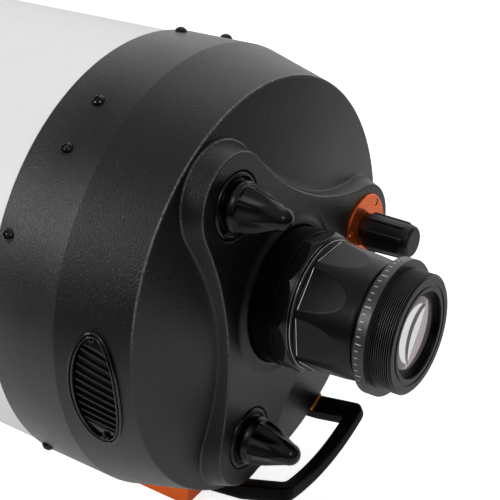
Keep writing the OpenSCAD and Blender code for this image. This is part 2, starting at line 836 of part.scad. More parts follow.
module rear_hub() {
    color([0.07, 0.07, 0.08]) ota() difference() {
        rotate_extrude() polygon([
            [baffle_r + run_gap, hub_s], [hub_r - 0.8, hub_s], [hub_r, hub_s + 0.8],
            [hub_r, hub_s + hub_len - 0.8], [hub_r - 0.8, hub_s + hub_len], [spigot_r, hub_s + hub_len],
            [spigot_r, spigot_end_s], [hub_bore_r, spigot_end_s], [hub_bore_r, hub_s + hub_floor_t],
            [baffle_r + run_gap, hub_s + hub_floor_t]]);
        for (i = [0:2]) outward(hub_r - 2, 60 + 120 * i, hub_s + hub_len / 2) cylinder(r = 1.5, h = 5);
    }
}

module field_lens_cell() {
    color([0.12, 0.12, 0.12]) ota() difference() {
        rod(field_r, field_s - 3, field_s + 3 * field_t + 3);
        rod(field_r - 3.5, field_s - 4, field_s + 3 * field_t + 4);
        rod(field_r - 1.5, field_s, field_s + 3 * field_t);
    }
}

// Round lens between stations s0 and s1, with face radii c0 and c1
module lens(r, s0, s1, c0, c1) {
    rotate_extrude() polygon(concat(curve(0, r, s0, c0), curve(r, 0, s1, c1)));
}

module field_lens_front() {
    color([0.75, 0.88, 0.85, 0.35]) ota()
        lens(field_r - 1.6, field_s + 0.5, field_s + field_t + 1, -140, 160);
}

module field_lens_rear() {
    color([0.75, 0.88, 0.85, 0.35]) ota()
        lens(field_r - 1.6, field_s + 2 * field_t, field_s + 3 * field_t - 0.5, 200, 110);
}

// ---- Mirror carriage ----

module primary_mirror() {
    color([0.86, 0.88, 0.90]) ota() rotate_extrude($fn = 180) polygon(concat(
        [[slider_r + fit_gap, primary_back_s], [primary_r - 1, primary_back_s],
         [primary_r, primary_back_s - 1]],
        curve(primary_r, slider_r + fit_gap, primary_vertex_s, primary_curve, 24)));
}

module mirror_slider() {
    color("silver") ota() difference() {
        union() {
            rod(slider_r, slider_front_s, carrier_s + carrier_t + 4);
            rod(slider_r + slider_flange, primary_back_s + face_gap, carrier_s);
        }
        rod(baffle_r + run_gap, slider_front_s - over, carrier_s + carrier_t + 5);
    }
}

module mirror_clamp_ring() {
    s1 = primary_vertex_s - sag(slider_r + 8, primary_curve) - 0.02;
    color([0.15, 0.15, 0.16]) ota() tube(slider_r + 8, slider_r + fit_gap / 2, s1 - 5, s1);
}

module carrier_plate() {
    color([0.30, 0.30, 0.32]) ota() difference() {
        union() {
            rod(slider_r + carrier_rim, carrier_s, carrier_s + carrier_t);
            for (a = lobes) rotate([0, 0, a]) {
                translate([slider_r, -arm_w / 2, carrier_s])
                    cube([arm_end_r - slider_r - arm_w / 2, arm_w, carrier_t]);
                translate([arm_end_r - arm_w / 2, 0, 0]) rod(arm_w / 2, carrier_s, carrier_s + carrier_t);
            }
        }
        rod(slider_r + fit_gap / 2, carrier_s - over, carrier_s + carrier_t + over);
        polar(lobe_pitch_r, 0) rod(nut_r + fit_gap / 2, carrier_s - over, carrier_s + carrier_t + over);
        for (a = [120, 240]) polar(clutch_pitch_r, a)
            rod(clutch_rod_r + fit_gap / 2, carrier_s - over, carrier_s + carrier_t + over);
    }
}

module focus_nut() {
    color("goldenrod") ota() polar(lobe_pitch_r, 0) difference() {
        union() {
            rod(nut_r, carrier_s, nut_end_s);
            rod(nut_r + 3, carrier_s + carrier_t, carrier_s + carrier_t + 3);
        }
        rod(focus_screw_r + run_gap, carrier_s - over, nut_end_s + over);
        rod(focus_screw_r + 2, carrier_s - over, nut_end_s - nut_grip);
    }
}

module clutch_rod(a) {
    color("silver") ota() polar(clutch_pitch_r, a) {
        rod(clutch_rod_r, carrier_s - 3, rod_end_s);
        rod(clutch_rod_r + 2.5, carrier_s - 3, carrier_s);
        rod(clutch_rod_r + 2.5, carrier_s + carrier_t, carrier_s + carrier_t + 3);
    }
}

module clutch_rod_upper() { clutch_rod(120); }
module clutch_rod_lower() { clutch_rod(240); }

// ---- Focus drive ----

module focus_bearing() {
    color("goldenrod") ota() polar(lobe_pitch_r, 0) difference() {
        rod(bearing_r, bearing_s, focus_plate_s);
        rod(journal_r + run_gap, bearing_s - over, focus_plate_s + over);
    }
}

module focus_plate() {
    color([0.85, 0.36, 0.12]) ota() polar(lobe_pitch_r, 0) difference() {
        rotate_extrude() polygon([
            [journal_r + 1, focus_plate_s], [focus_plate_r, focus_plate_s],
            [focus_plate_r, focus_plate_s + focus_plate_t - 0.7],
            [focus_plate_r - 0.7, focus_plate_s + focus_plate_t],
            [journal_r + 1, focus_plate_s + focus_plate_t]]);
        for (a = focus_plate_screw_angles) polar(focus_plate_screw_r, a) {
            rod(1.3, focus_plate_s - over, focus_plate_s + 5);
            rod(2.6, focus_plate_s + focus_plate_t - 1.3, focus_plate_s + 5);
        }
    }
}

module focus_plate_screws() {
    color([0.6, 0.6, 0.62]) ota() polar(lobe_pitch_r, 0)
        for (a = focus_plate_screw_angles) polar(focus_plate_screw_r, a)
            translate([0, 0, focus_plate_s + focus_plate_t - 1.3]) domed_screw(2.5, 1.2, 1.2, 9);
}

module focus_screw() {
    color("silver") ota() polar(lobe_pitch_r, 0) {
        rod(focus_screw_r, screw_tip_s, bearing_s - 3);
        rod(journal_r + 3, bearing_s - 3 - eps, bearing_s - face_gap);
        rod(journal_r, bearing_s - face_gap - eps, knob_s);
        rod(focus_screw_r, knob_s - eps, knob_core_end_s - 4);
    }
}

module focus_knob_core() {
    color("silver") ota() polar(lobe_pitch_r, 0) difference() {
        union() {
            rod(knob_core_r, knob_s, knob_core_end_s);
            rod(knob_core_r + 5, knob_s, knob_s + 2);
        }
        rod(focus_screw_r + fit_gap / 2, knob_s - over, knob_core_end_s - 4);
    }
}

// Rubber grip: a slightly conical body with raised ribs and a bevelled end
module focus_knob_grip() {
    end = focus_knob_end_s;
    foot = knob_s + 2 + fit_gap;
    body_r = focus_knob_r - 0.8;
    color([0.06, 0.06, 0.06]) ota() polar(lobe_pitch_r, 0) {
        rotate_extrude() polygon([
            [knob_core_r + fit_gap / 2, foot], [body_r - 0.5, foot], [body_r, foot + 0.5],
            [body_r - 0.8, end - 6], [body_r - 1.2, end - 4.6], [body_r - 1.9, end - 1.6],
            [body_r - 2.6, end - 0.5], [body_r - 3.7, end], [body_r - 5.6, end],
            [body_r - 6, end - 0.4], [0, end - 0.4],
            [0, knob_core_end_s + fit_gap], [knob_core_r + fit_gap / 2, knob_core_end_s + fit_gap]]);
        for (i = [0:focus_ribs - 1]) polar(focus_knob_r - rib_r, rib_angle + i * 360 / focus_ribs)
            translate([0, 0, foot + 0.6]) rotate([0, -rib_lean, 0]) rotate_extrude($fn = 32) polygon(concat(
                [[0, 0], [rib_r, 0]], arc(0, rib_len - rib_r, rib_r, 0, 90, 6)));
    }
}

// ---- Mirror clutches ----

module clutch_bush(a) {
    color("goldenrod") ota() polar(clutch_pitch_r, a) difference() {
        union() {
            rod(bush_r, bush_s, lobe_top_s - clutch_recess);
            rod(neck_r, lobe_top_s - clutch_recess - eps, neck_end_s);
        }
        rod(clutch_rod_r + free_gap, bush_s - over, neck_end_s + over);
    }
}

module clutch_bush_upper() { clutch_bush(120); }
module clutch_bush_lower() { clutch_bush(240); }

// Knob: dished flange, neck and a domed cone with six flutes, hollow for the bush, nut and rod
module clutch_knob(a) {
    s0 = clutch_flange_s;
    top = s0 + clutch_flange_t;
    color([0.05, 0.05, 0.05]) ota() polar(clutch_pitch_r, a) difference() {
        union() {
            rotate_extrude() polygon([
                [0, s0], [clutch_flange_r - 0.5, s0], [clutch_flange_r, s0 + 0.8],
                [clutch_flange_r, top - 1.2], [clutch_flange_r - 0.9, top], [clutch_flange_r - 2.3, top],
                [clutch_flange_r - 3.6, top - 1.4], [0, top - 1.4]]);
            difference() {
                rotate_extrude() polygon(concat(
                    [[0, top - 2], [knob_neck_r, top - 2], [knob_neck_r, top + 3.4],
                     [clutch_ridge_r - 0.6, top + 4.4], [clutch_ridge_r, top + 5.6],
                     [clutch_ridge_r - 0.6, top + 7.6], [clutch_ridge_r - 3, clutch_tip_s - 28],
                     [clutch_ridge_r - 5.8, clutch_tip_s - 21], [clutch_ridge_r - 8.6, clutch_tip_s - 15]],
                    arc(0, clutch_tip_s - nose_r, nose_r, 10, 90, 8)));
                for (i = [0:flutes - 1]) flute(flute_angle + i * 360 / flutes, top + 0.6);
            }
        }
        rod(neck_r + run_gap, s0 - over, clutch_nut_s + clutch_nut_t + free_gap);
        rod(clutch_rod_r + 1, s0, rod_end_s + 12);
    }
}

// Hollow side of the knob: a leaning round cut whose bottom runs in towards the tip
module flute(a, s) {
    rotate([0, 0, a]) translate([flute_bottom_r + flute_cut_r, 0, s]) rotate([0, -flute_lean, 0])
        cylinder(r = flute_cut_r, h = 60);
}

module clutch_knob_upper() { clutch_knob(120); }
module clutch_knob_lower() { clutch_knob(240); }

module clutch_nut(a) {
    color("goldenrod") ota() polar(clutch_pitch_r, a)
        tube(neck_r - free_gap, clutch_rod_r + free_gap, clutch_nut_s, clutch_nut_s + clutch_nut_t);
}

module clutch_nut_upper() { clutch_nut(120); }
module clutch_nut_lower() { clutch_nut(240); }

// ---- Reducer ----

module reducer_lock_ring() {
    color([0.09, 0.09, 0.10]) ota() difference() {
        intersection() {
            translate([0, 0, lock_s]) rotate([0, 0, lock_turn])
                cylinder(r = lock_corner_r, h = lock_end_s - lock_s, $fn = lock_sides);
            rotate_extrude() polygon([
                [0, lock_s], [lock_corner_r - 0.8, lock_s], [lock_corner_r, lock_s + 0.8],
                [lock_corner_r, lock_end_s - lock_chamfer], [lock_lip_r, lock_end_s], [0, lock_end_s]]);
        }
        rod(spigot_r + run_gap, lock_s - over, lock_lip_s);
        rod(reducer_neck_r + free_gap, lock_s, lock_end_s + over);
    }
}

module reducer_body() {
    foot = reducer_foot_s;
    color([0.10, 0.10, 0.11]) ota() difference() {
        rotate_extrude() polygon([
            [0, pilot_s], [hub_bore_r - run_gap, pilot_s], [hub_bore_r - run_gap, spigot_end_s + face_gap],
            [spigot_r - free_gap, spigot_end_s + face_gap], [spigot_r - free_gap, spigot_end_s + flange_t],
            [reducer_neck_r, spigot_end_s + flange_t], [reducer_neck_r, foot],
            [reducer_r - 0.5, foot], [reducer_r, foot + 0.5], [reducer_r, foot + 3],
            [reducer_waist_r + 0.3, taper_s], [reducer_waist_r, taper_s + 2.2],
            [reducer_waist_r - 0.4, taper_s + 3],
            [gap_r, taper_s + 3], [gap_r, index_s], [0, index_s]]);
        rod(hub_bore_r - 3, pilot_s - over, foot + 4);
        rod(reducer_bore_r, foot + 4 - eps, index_s - 8.7);
        rod(nose_seat_r + fit_gap / 2, index_s - 8.7 - eps, index_s + over);
        for (i = [0:flats - 1]) rotate([0, 0, i * 360 / flats])
            translate([flat_r, 0, foot + 2]) rotate([0, -flat_tilt, 0])
                translate([0, -30, 0]) cube([20, 60, flat_len]);
    }
}

module reducer_index_ring() {
    color([0.10, 0.10, 0.11]) ota() difference() {
        rotate_extrude() polygon([
            [gap_r - 1, index_s], [index_r - 0.5, index_s], [index_r, index_s + 0.5],
            [index_r, nose_s - 0.5], [index_r - 0.5, nose_s], [gap_r - 1, nose_s]]);
        rod(nose_seat_r + fit_gap / 2, index_s - over, nose_s + over);
    }
}

// Sleeve that screws into the body, with the camera thread as ring grooves on its outside
module reducer_nose() {
    first = nose_s + 0.2;
    root_r = thread_r - thread_depth;
    color([0.11, 0.11, 0.12]) ota() rotate_extrude() polygon(concat(
        [[reducer_bore_r + 1, index_s - 8.6], [nose_seat_r, index_s - 8.6], [nose_seat_r, nose_s],
         [root_r, nose_s]],
        [for (i = [0:thread_crests - 1],
              p = [[root_r, 0], [thread_r, 0.42], [thread_r, 0.58], [root_r, 0.9]])
            [p[0], first + (i + p[1]) * thread_pitch]],
        [[root_r - 0.8, nose_s + nose_len], [port_r + 5, nose_s + nose_len],
         [port_r + 5, nose_s + nose_len - 0.8], [port_r + 3, nose_s + nose_len - 0.8],
         [port_r + 3, nose_s + nose_len], [port_r + 0.6, nose_s + nose_len],
         [port_r, nose_s + nose_len - 0.6], [port_r, nose_s + 8], [reducer_bore_r + 1, nose_s + 8]]));
}

module reducer_lens_front() {
    color([0.70, 0.85, 0.80, 0.35]) ota()
        lens(reducer_bore_r - fit_gap, reducer_foot_s + 6, reducer_foot_s + 20, -150, 220);
}

module reducer_lens_rear() {
    color([0.70, 0.85, 0.80, 0.35]) ota()
        lens(reducer_bore_r + 1 - fit_gap, index_s, nose_s + 2, -160, 150);
}

module reducer_lens_ring() {
    color([0.10, 0.10, 0.10]) ota()
        tube(reducer_bore_r + 1 - fit_gap, port_r, nose_s + 3, nose_s + 8 - fit_gap);
}

optical_tube();
rear_cell();
tube_screws();
accessory_screws();
front_cell();
front_cell_screws();
corrector_retainer();
corrector_screws();
corrector_plate();
secondary_holder();
secondary_baffle();
secondary_cell();
secondary_lock_ring();
secondary_tilt_plate();
secondary_mirror();
collimation_screw_top();
collimation_screw_left();
collimation_screw_right();
dovetail_plate();
dovetail_rear_block();
dovetail_front_block();
dovetail_screws();
carry_handle();
handle_spacers();
handle_screws();
vent_grille_left();
vent_grille_right();
vent_meshes();
vent_screws();
baffle_tube();
rear_hub();
field_lens_cell();
field_lens_front();
field_lens_rear();
focus_bearing();
focus_plate();
focus_plate_screws();
clutch_bush_upper();
clutch_bush_lower();
primary_mirror();
mirror_slider();
mirror_clamp_ring();
carrier_plate();
focus_nut();
clutch_rod_upper();
clutch_rod_lower();
focus_screw();
focus_knob_core();
focus_knob_grip();
clutch_knob_upper();
clutch_knob_lower();
clutch_nut_upper();
clutch_nut_lower();
reducer_lock_ring();
reducer_body();
reducer_index_ring();
reducer_nose();
reducer_lens_front();
reducer_lens_rear();
reducer_lens_ring();
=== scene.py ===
"""Looks of a closed-tube mirror telescope seen from behind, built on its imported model.

Shapes are worked out in the telescope's own frame, in millimetres: x to the right, up, and the
station s, counted rearwards from the rear cell's front rim. Angles are in degrees, from +x
towards up. place() turns that frame into the row frame, in metres.
"""

import json

import bmesh
import bpy
import numpy as np
from mathutils import Matrix, Vector
from mathutils.geometry import delaunay_2d_cdt


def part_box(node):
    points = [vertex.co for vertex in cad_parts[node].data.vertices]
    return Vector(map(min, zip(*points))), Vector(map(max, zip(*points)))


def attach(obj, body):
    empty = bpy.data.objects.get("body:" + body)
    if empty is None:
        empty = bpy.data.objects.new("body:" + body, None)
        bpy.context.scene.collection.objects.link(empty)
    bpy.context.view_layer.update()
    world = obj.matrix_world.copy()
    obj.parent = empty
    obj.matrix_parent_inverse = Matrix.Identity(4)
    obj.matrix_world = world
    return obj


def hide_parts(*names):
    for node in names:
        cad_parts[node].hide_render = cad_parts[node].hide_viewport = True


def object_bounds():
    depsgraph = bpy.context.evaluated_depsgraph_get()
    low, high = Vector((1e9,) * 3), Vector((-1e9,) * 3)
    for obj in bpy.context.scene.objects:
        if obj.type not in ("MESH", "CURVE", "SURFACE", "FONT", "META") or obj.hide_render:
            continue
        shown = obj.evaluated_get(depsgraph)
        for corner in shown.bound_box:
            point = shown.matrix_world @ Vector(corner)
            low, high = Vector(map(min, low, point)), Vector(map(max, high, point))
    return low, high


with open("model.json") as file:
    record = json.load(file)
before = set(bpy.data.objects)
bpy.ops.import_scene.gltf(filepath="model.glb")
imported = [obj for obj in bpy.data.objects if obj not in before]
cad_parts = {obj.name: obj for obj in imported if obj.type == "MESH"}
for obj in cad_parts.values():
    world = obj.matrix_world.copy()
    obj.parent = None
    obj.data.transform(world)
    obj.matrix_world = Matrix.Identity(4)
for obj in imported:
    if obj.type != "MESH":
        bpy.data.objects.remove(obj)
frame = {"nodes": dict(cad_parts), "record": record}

cad_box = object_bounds()
MM = 0.001
nodes = frame["nodes"]
body_of = {n: b for b, members in frame["record"]["behaviour"]["bodies"].items() for n in members}
slot_of = {p["node"]: p["material_slot"] for p in frame["record"]["subparts"]}

# ---- Sizes read from the frame, in millimetres ----

rear_low, rear_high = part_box("rear_cell")
tube_low, tube_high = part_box("optical_tube")
RIM_Y = rear_high.y
AXIS_Z = (tube_low.z + tube_high.z) / 2


def station(y):
    """The station of a row-frame Y."""
    return (RIM_Y - y) / MM


def reach(node):
    """(front station, rear station, largest radius about its axis) of a round node."""
    low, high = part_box(node)
    return station(high.y), station(low.y), (high.x - low.x) / 2 / MM


def middle(node):
    """(x, up) of a node's middle."""
    low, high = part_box(node)
    return (low.x + high.x) / 2 / MM, ((low.z + high.z) / 2 - AXIS_Z) / MM


CELL_R = (rear_high.x - rear_low.x) / 2 / MM
LOBE_TOP = station(rear_low.y)
HUB_S, HUB_END, HUB_R = reach("rear_hub")
LOCK_S, LOCK_END, _ = reach("reducer_lock_ring")
INDEX_S, INDEX_END, INDEX_R = reach("reducer_index_ring")
NOSE_END = reach("reducer_nose")[1]
PLATE_S, _, PLATE_R = reach("focus_plate")
KNOB_S, KNOB_END, KNOB_R = reach("focus_knob_grip")
CLUTCH_S, CLUTCH_END, CLUTCH_R = reach("clutch_knob_upper")

# The rear cell's straight band, its conical band, the sharp edge behind it and its wall
BAND_LEN, EDGE_S, BAND_ANGLE, CAST_WALL = 60, 108, 15, 6
BAND2_R = CELL_R - 0.9
CORNER_S = BAND_LEN - 0.9 / np.tan(np.radians(BAND_ANGLE))

# The shallow back cone: its inner radius and station
BACK_R, BACK_S = 73, 117

# The raised part: three lobes, and the large circles that hollow the sides between them
LOBE_R, LOBE_PITCH, WAIST_R = 35, CELL_R - 57.5, 71
SCOOP_PITCH = (LOBE_PITCH**2 - (LOBE_R - WAIST_R) ** 2) / (LOBE_PITCH - 2 * (WAIST_R - LOBE_R))
SCOOP_R = SCOOP_PITCH - WAIST_R

# How far the raised part's side leans out for each millimetre down, how far it stands outside
# the outline at the top, and where it ends, roughly
SIDE_LEAN = 5.9 / 17
TOP_GROW, FOOT_S = 0.5 - SIDE_LEAN, 110

# The oval vents
VENT_S, VENT_LEN, VENT_W = 82.3, 88, 35.4
VENT_ANGLES = {"vent_grille_left": 181.2, "vent_grille_right": 358.8}


def cone_r(s):
    """Radius of the rear cell's conical band at station s."""
    return BAND2_R - (s - BAND_LEN) * np.tan(np.radians(BAND_ANGLE))


EDGE_R = cone_r(EDGE_S)
BACK_RIM_R = EDGE_R - 1.2


# ---- Making meshes ----

def place(points):
    """The row-frame place of points given as x, up and station."""
    p = np.asarray(points, float).reshape(-1, 3)
    return np.stack([p[:, 0] * MM, RIM_Y - p[:, 2] * MM, AXIS_Z + p[:, 1] * MM], 1)


def turns(count):
    """Angles spread evenly over one turn."""
    return np.arange(count) * 360 / count


def round_about(rho, angle, s, centre=(0, 0)):
    """Points at radius rho and an angle around an axis parallel to the optical axis."""
    a = np.radians(angle)
    rho, a, s = np.broadcast_arrays(rho, a, s)
    return np.stack([centre[0] + rho * np.cos(a), centre[1] + rho * np.sin(a), s], -1)


def grid_faces(rows, columns, around=True, loop=False):
    """Quads between the rows and columns of a grid; around joins its last column to its first,
    and loop joins its last row to its first."""
    r, c = np.meshgrid(np.arange(rows if loop else rows - 1),
                       np.arange(columns if around else columns - 1), indexing="ij")
    r2, c2 = (r + 1) % rows, (c + 1) % columns
    quads = np.stack([r * columns + c, r * columns + c2, r2 * columns + c2, r2 * columns + c], -1)
    return quads.reshape(-1, 4)


def bar_faces(rows, columns):
    """Faces of a bar whose section is a closed row of points: its sides and its two ends."""
    first = np.arange(rows)[None] * columns
    sides = grid_faces(rows, columns, around=False, loop=True)
    return [sides[:, ::-1], first[:, ::-1], first + columns - 1]


def joined(parts):
    """One list of points and one of faces from parts whose faces each count from nought."""
    points, faces, total = [], [], 0
    for p, part_faces in parts:
        points.append(p.reshape(-1, 3))
        faces += [f + total for f in part_faces]
        total += len(points[-1])
    return np.concatenate(points), faces


def build(name, points, faces, merge=0.0):
    """A smooth-shaded object from points in the telescope's frame and lists of faces. Points
    closer than merge millimetres become one."""
    mesh = bpy.data.meshes.new(name)
    mesh.from_pydata(place(points), [], [f for part in faces for f in np.asarray(part).tolist()])
    if merge:
        work = bmesh.new()
        work.from_mesh(mesh)
        bmesh.ops.remove_doubles(work, verts=work.verts, dist=merge * MM)
        bmesh.ops.dissolve_degenerate(work, edges=work.edges, dist=1e-7)
        work.to_mesh(mesh)
        work.free()
    mesh.polygons.foreach_set("use_smooth", np.ones(len(mesh.polygons), bool))
    mesh.update()
    thing = bpy.data.objects.new(name, mesh)
    bpy.context.scene.collection.objects.link(thing)
    return thing


def stands_for(thing, finish, node):
    """Gives a piece its finish, its body and the node that it stands for."""
    thing.data.materials.append(finish.material)
    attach(thing, body_of[node])
    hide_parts(node)


def eased(profile, radius=0.4, steps=5, loop=True):
    """A profile whose corners are rounded: each corner becomes a quadratic curve that starts and
    ends at the radius from it, and at most a third of a side away, with one more point on each
    side of it that keeps the flat beside it flat. radius is one number or one for each corner."""
    p = np.asarray(profile, float)
    before, after = np.roll(p, 1, 0) - p, np.roll(p, -1, 0) - p
    len_b, len_a = np.linalg.norm(before, axis=1), np.linalg.norm(after, axis=1)
    cut = np.minimum(np.broadcast_to(radius, len(p)), np.minimum(len_b, len_a) / 3)
    if not loop:
        cut[[0, -1]] = 0
    first = p + before / len_b[:, None] * cut[:, None]
    last = p + after / len_a[:, None] * cut[:, None]
    t = np.linspace(0, 1, steps + 1)[None, :, None]
    bend = (1 - t) ** 2 * first[:, None] + 2 * t * (1 - t) * p[:, None] + t**2 * last[:, None]
    hold = 1.35
    held_first, held_last = p + (first - p) * hold, p + (last - p) * hold
    out = np.concatenate([held_first[:, None], bend, held_last[:, None]], 1)
    return np.concatenate([out[i] if cut[i] > 1e-6 else p[i:i + 1] for i in range(len(p))])


def lathe(name, profile, columns=240, loop=True, merge=0.0):
    """A turned piece: every point (radius, station) of the profile goes round the optical axis.
    The profile runs rearwards outside, inwards behind, forwards inside and outwards in front."""
    p = np.asarray(profile, float)
    points = round_about(p[:, :1], turns(columns)[None], p[:, 1:])
    return build(name, points, [grid_faces(len(p), columns, loop=loop)], merge)


def smooth_path(points, steps=4):
    """A curve through points, each stretch a cubic whose ends follow its neighbours."""
    p = np.asarray(points, float)
    q = np.concatenate([[2 * p[0] - p[1]], p, [2 * p[-1] - p[-2]]])
    t = np.linspace(0, 1, steps, endpoint=False)[None, :, None]
    a, b, c, d = (q[i:len(q) - 3 + i][:, None] for i in range(4))
    out = 0.5 * (2 * b + (c - a) * t + (2 * a - 5 * b + 4 * c - d) * t**2
                 + (3 * b - a - 3 * c + d) * t**3)
    return np.concatenate([out.reshape(-1, p.shape[1]), p[-1:]])


def least(a, b, soft):
    """The smaller of two surfaces, with a rounding of about soft where they cross."""
    h = np.clip(0.5 + 0.5 * (b - a) / soft, 0, 1)
    return b * (1 - h) + a * h - soft * h * (1 - h)


def off_axis(angle, count, first=0.0):
    """The angle from the nearest of count directions evenly spread from the first."""
    step = 360 / count
    return (np.asarray(angle) - first + step / 2) % step - step / 2


# ---- Finishes ----

class Wire:
    """The output of a node, so that shader maths is written as an expression."""

    def __init__(self, nodes_of, socket):
        self.nodes_of, self.socket = nodes_of, socket

    def math(self, operation, *values):
        """A Math node of that operation."""
        return self.nodes_of.node("ShaderNodeMath", {"operation": operation}, *values)

    def __add__(self, other): return self.math("ADD", self, other)
    def __radd__(self, other): return self.math("ADD", other, self)
    def __sub__(self, other): return self.math("SUBTRACT", self, other)
    def __rsub__(self, other): return self.math("SUBTRACT", other, self)
    def __mul__(self, other): return self.math("MULTIPLY", self, other)
    def __rmul__(self, other): return self.math("MULTIPLY", other, self)
    def __mod__(self, other): return self.math("MODULO", self, other)
    def __pow__(self, other): return self.math("POWER", self, other)
    def __gt__(self, other): return self.math("GREATER_THAN", self, other)
    def __lt__(self, other): return self.math("LESS_THAN", self, other)
    def __abs__(self): return self.math("ABSOLUTE", self)
    def sine(self): return self.math("SINE", self)
    def cosine(self): return self.math("COSINE", self)

    def clipped(self):
        """The value, kept between 0 and 1."""
        return self.math("MAXIMUM", self.math("MINIMUM", self, 1.0), 0.0)


class Nodes:
    """A node tree, and the one way in which nodes are added to it."""

    def __init__(self, tree):
        self.tree = tree

    def node(self, kind, settings=None, *values, out=0, **named):
        """A node of a type: its settings first, then its sockets in order or by name. None
        leaves a socket as it is."""
        made = self.tree.nodes.new(kind)
        for key, value in (settings or {}).items():
            setattr(made, key, value)
        by_name = [(key.replace("_", " "), value) for key, value in named.items()]
        for key, value in list(enumerate(values)) + by_name:
            if isinstance(value, Wire):
                self.tree.links.new(value.socket, made.inputs[key])
            elif value is not None:
                made.inputs[key].default_value = value
        return Wire(self, made.outputs[out])

    def parts(self, vector):
        """The three numbers of a vector."""
        split = self.node("ShaderNodeSeparateXYZ", {}, vector)
        return [Wire(self, output) for output in split.socket.node.outputs]

    def shown(self, shader, output):
        """Makes a shader what the tree's output node shows."""
        self.tree.links.new(shader.socket, self.tree.nodes[output].inputs["Surface"])


class Finish(Nodes):
    """One material: a Principled shader with its constant sockets, and the nodes that vary it."""

    def __init__(self, name, **sockets):
        self.material = bpy.data.materials.new(name)
        self.material.use_nodes = True
        super().__init__(self.material.node_tree)
        self.shader = self.tree.nodes["Principled BSDF"]
        for key, value in sockets.items():
            self.shader.inputs[key.replace("_", " ")].default_value = value

    def where(self):
        """Object coordinates in millimetres."""
        spot = self.node("ShaderNodeTexCoord", out="Object")
        return self.node("ShaderNodeMapping", {}, spot, Scale=(1 / MM,) * 3)

    def noise(self, size, detail=2.0, roughness=0.5, distortion=0.0):
        """Noise whose features are about size millimetres across."""
        return self.node("ShaderNodeTexNoise", {}, self.where(), Scale=1 / size, Detail=detail,
                         Roughness=roughness, Distortion=distortion)

    def about_the_axis(self):
        """x and up from the optical axis, the distance from it and the station, in
        millimetres."""
        x, y, z = self.parts(self.where())
        up = z - AXIS_Z / MM
        return x, up, (x * x + up * up) ** 0.5, RIM_Y / MM - y

    def mix(self, amount, first, second):
        """A colour between two colours."""
        first, second = (c if isinstance(c, Wire) else (*c, 1) for c in (first, second))
        unused = [None] * 5
        return self.node("ShaderNodeMix", {"data_type": "RGBA"}, amount, *unused, first, second,
                         out=2)

    def give(self, **sockets):
        """Links values to the shader's sockets."""
        for key, value in sockets.items():
            self.tree.links.new(value.socket, self.shader.inputs[key.replace("_", " ")])
        return self

    def raise_by(self, height, depth):
        """Bumps the surface by height times depth millimetres."""
        return self.give(Normal=self.node("ShaderNodeBump", {}, Distance=depth * MM, Height=height))


def grey(value):
    """A neutral colour."""
    return (value, value, value)


def in_degrees(up, x):
    """The angle of a direction, from +x towards up."""
    return up.math("ARCTAN2", up, x) * (180 / np.pi)


def white_tube_paint():
    """White powder coat over a fabric-like weave: two crossed diagonal waves 2.9 millimetres
    long, and faint mottling."""
    tube_r, wave_len = 163, 2.9
    f = Finish("white_tube_paint", Roughness=0.5)
    x, up, _, s = f.about_the_axis()
    arc = in_degrees(up, x) * (np.pi / 180 * tube_r)
    one = ((s + arc) * (2 * np.pi / wave_len)).sine()
    two = ((s - arc) * (2 * np.pi / wave_len)).sine()
    weave = one * two * 0.5 + 0.5
    fine = f.noise(0.9, 3.0, 0.6)
    cover = (f.noise(22) * 0.25 + weave * 0.35 + fine * 0.4).clipped()
    f.give(Base_Color=f.mix(cover, (0.80, 0.80, 0.795), (0.98, 0.98, 0.975)))
    return f.raise_by(weave * 0.6 + fine * 0.4, 0.06)


def cast_black_paint(name="cast_black_paint", tone=0.0028, rough=0.34, depth=0.36, specular=0.40):
    """Black textured paint on a casting: a pebbled grain about a millimetre across, small
    bright flecks, a broad unevenness of gloss, and thin broken painted highlights of a pale metal
    where the piece's own attribute named edge is high."""
    highlight_grey_metal = grey(0.34)
    f = Finish(name, Specular_IOR_Level=specular)
    grain = f.noise(1.05, 2.0, 0.62)
    fine = f.noise(0.7, 1.0)
    broad = f.noise(38)
    fleck = ((grain * 0.6 + fine * 0.4 - 0.56) * 8).clipped()
    edge = f.node("ShaderNodeAttribute", {"attribute_name": "edge"}, out="Fac")
    # Thin broken painted highlights along the sharp lines: a grey metal that also reflects the
    # lamps
    painted_edge_highlight = (edge * ((f.noise(1.6, 2.0, 0.6) - 0.30) * 3.2).clipped()).clipped()
    rough_all = rough + (fine - 0.5) * 0.22 + (broad - 0.5) * 0.12 - fleck * 0.14 - painted_edge_highlight * 0.08
    f.give(Base_Color=f.mix(painted_edge_highlight, f.mix(fleck, grey(tone), grey(tone * 4)), highlight_grey_metal),
           Roughness=rough_all, Metallic=painted_edge_highlight * 0.85)
    return f.raise_by(grain * 0.8 + fine * 0.3, depth)


def gloss_black_plastic(name="gloss_black_plastic", tone=0.0012, rough=0.24, wave=0.012,
                        specular=0.28):
    """Moulded black plastic with a polished face: faint sink waves and hairline rubs."""
    f = Finish(name, Specular_IOR_Level=specular)
    rub = f.noise(2, 4.0, distortion=2.5)
    f.give(Base_Color=f.mix(f.noise(6), grey(tone), grey(tone * 1.6)),
           Roughness=rough + (rub - 0.5) * 0.14)
    return f.raise_by(f.noise(3.5, 1.0), wave)


def black_rubber():
    """Matte rubber with a faint dusty bloom that varies at random over it."""
    f = Finish("black_rubber", Specular_IOR_Level=0.32)
    grain = f.noise(0.35, 3.0, 0.6)
    f.give(Base_Color=f.mix(f.noise(5, 3.0), grey(0.0016), grey(0.0034)),
           Roughness=0.42 + (grain - 0.5) * 0.2)
    return f.raise_by(grain, 0.02)


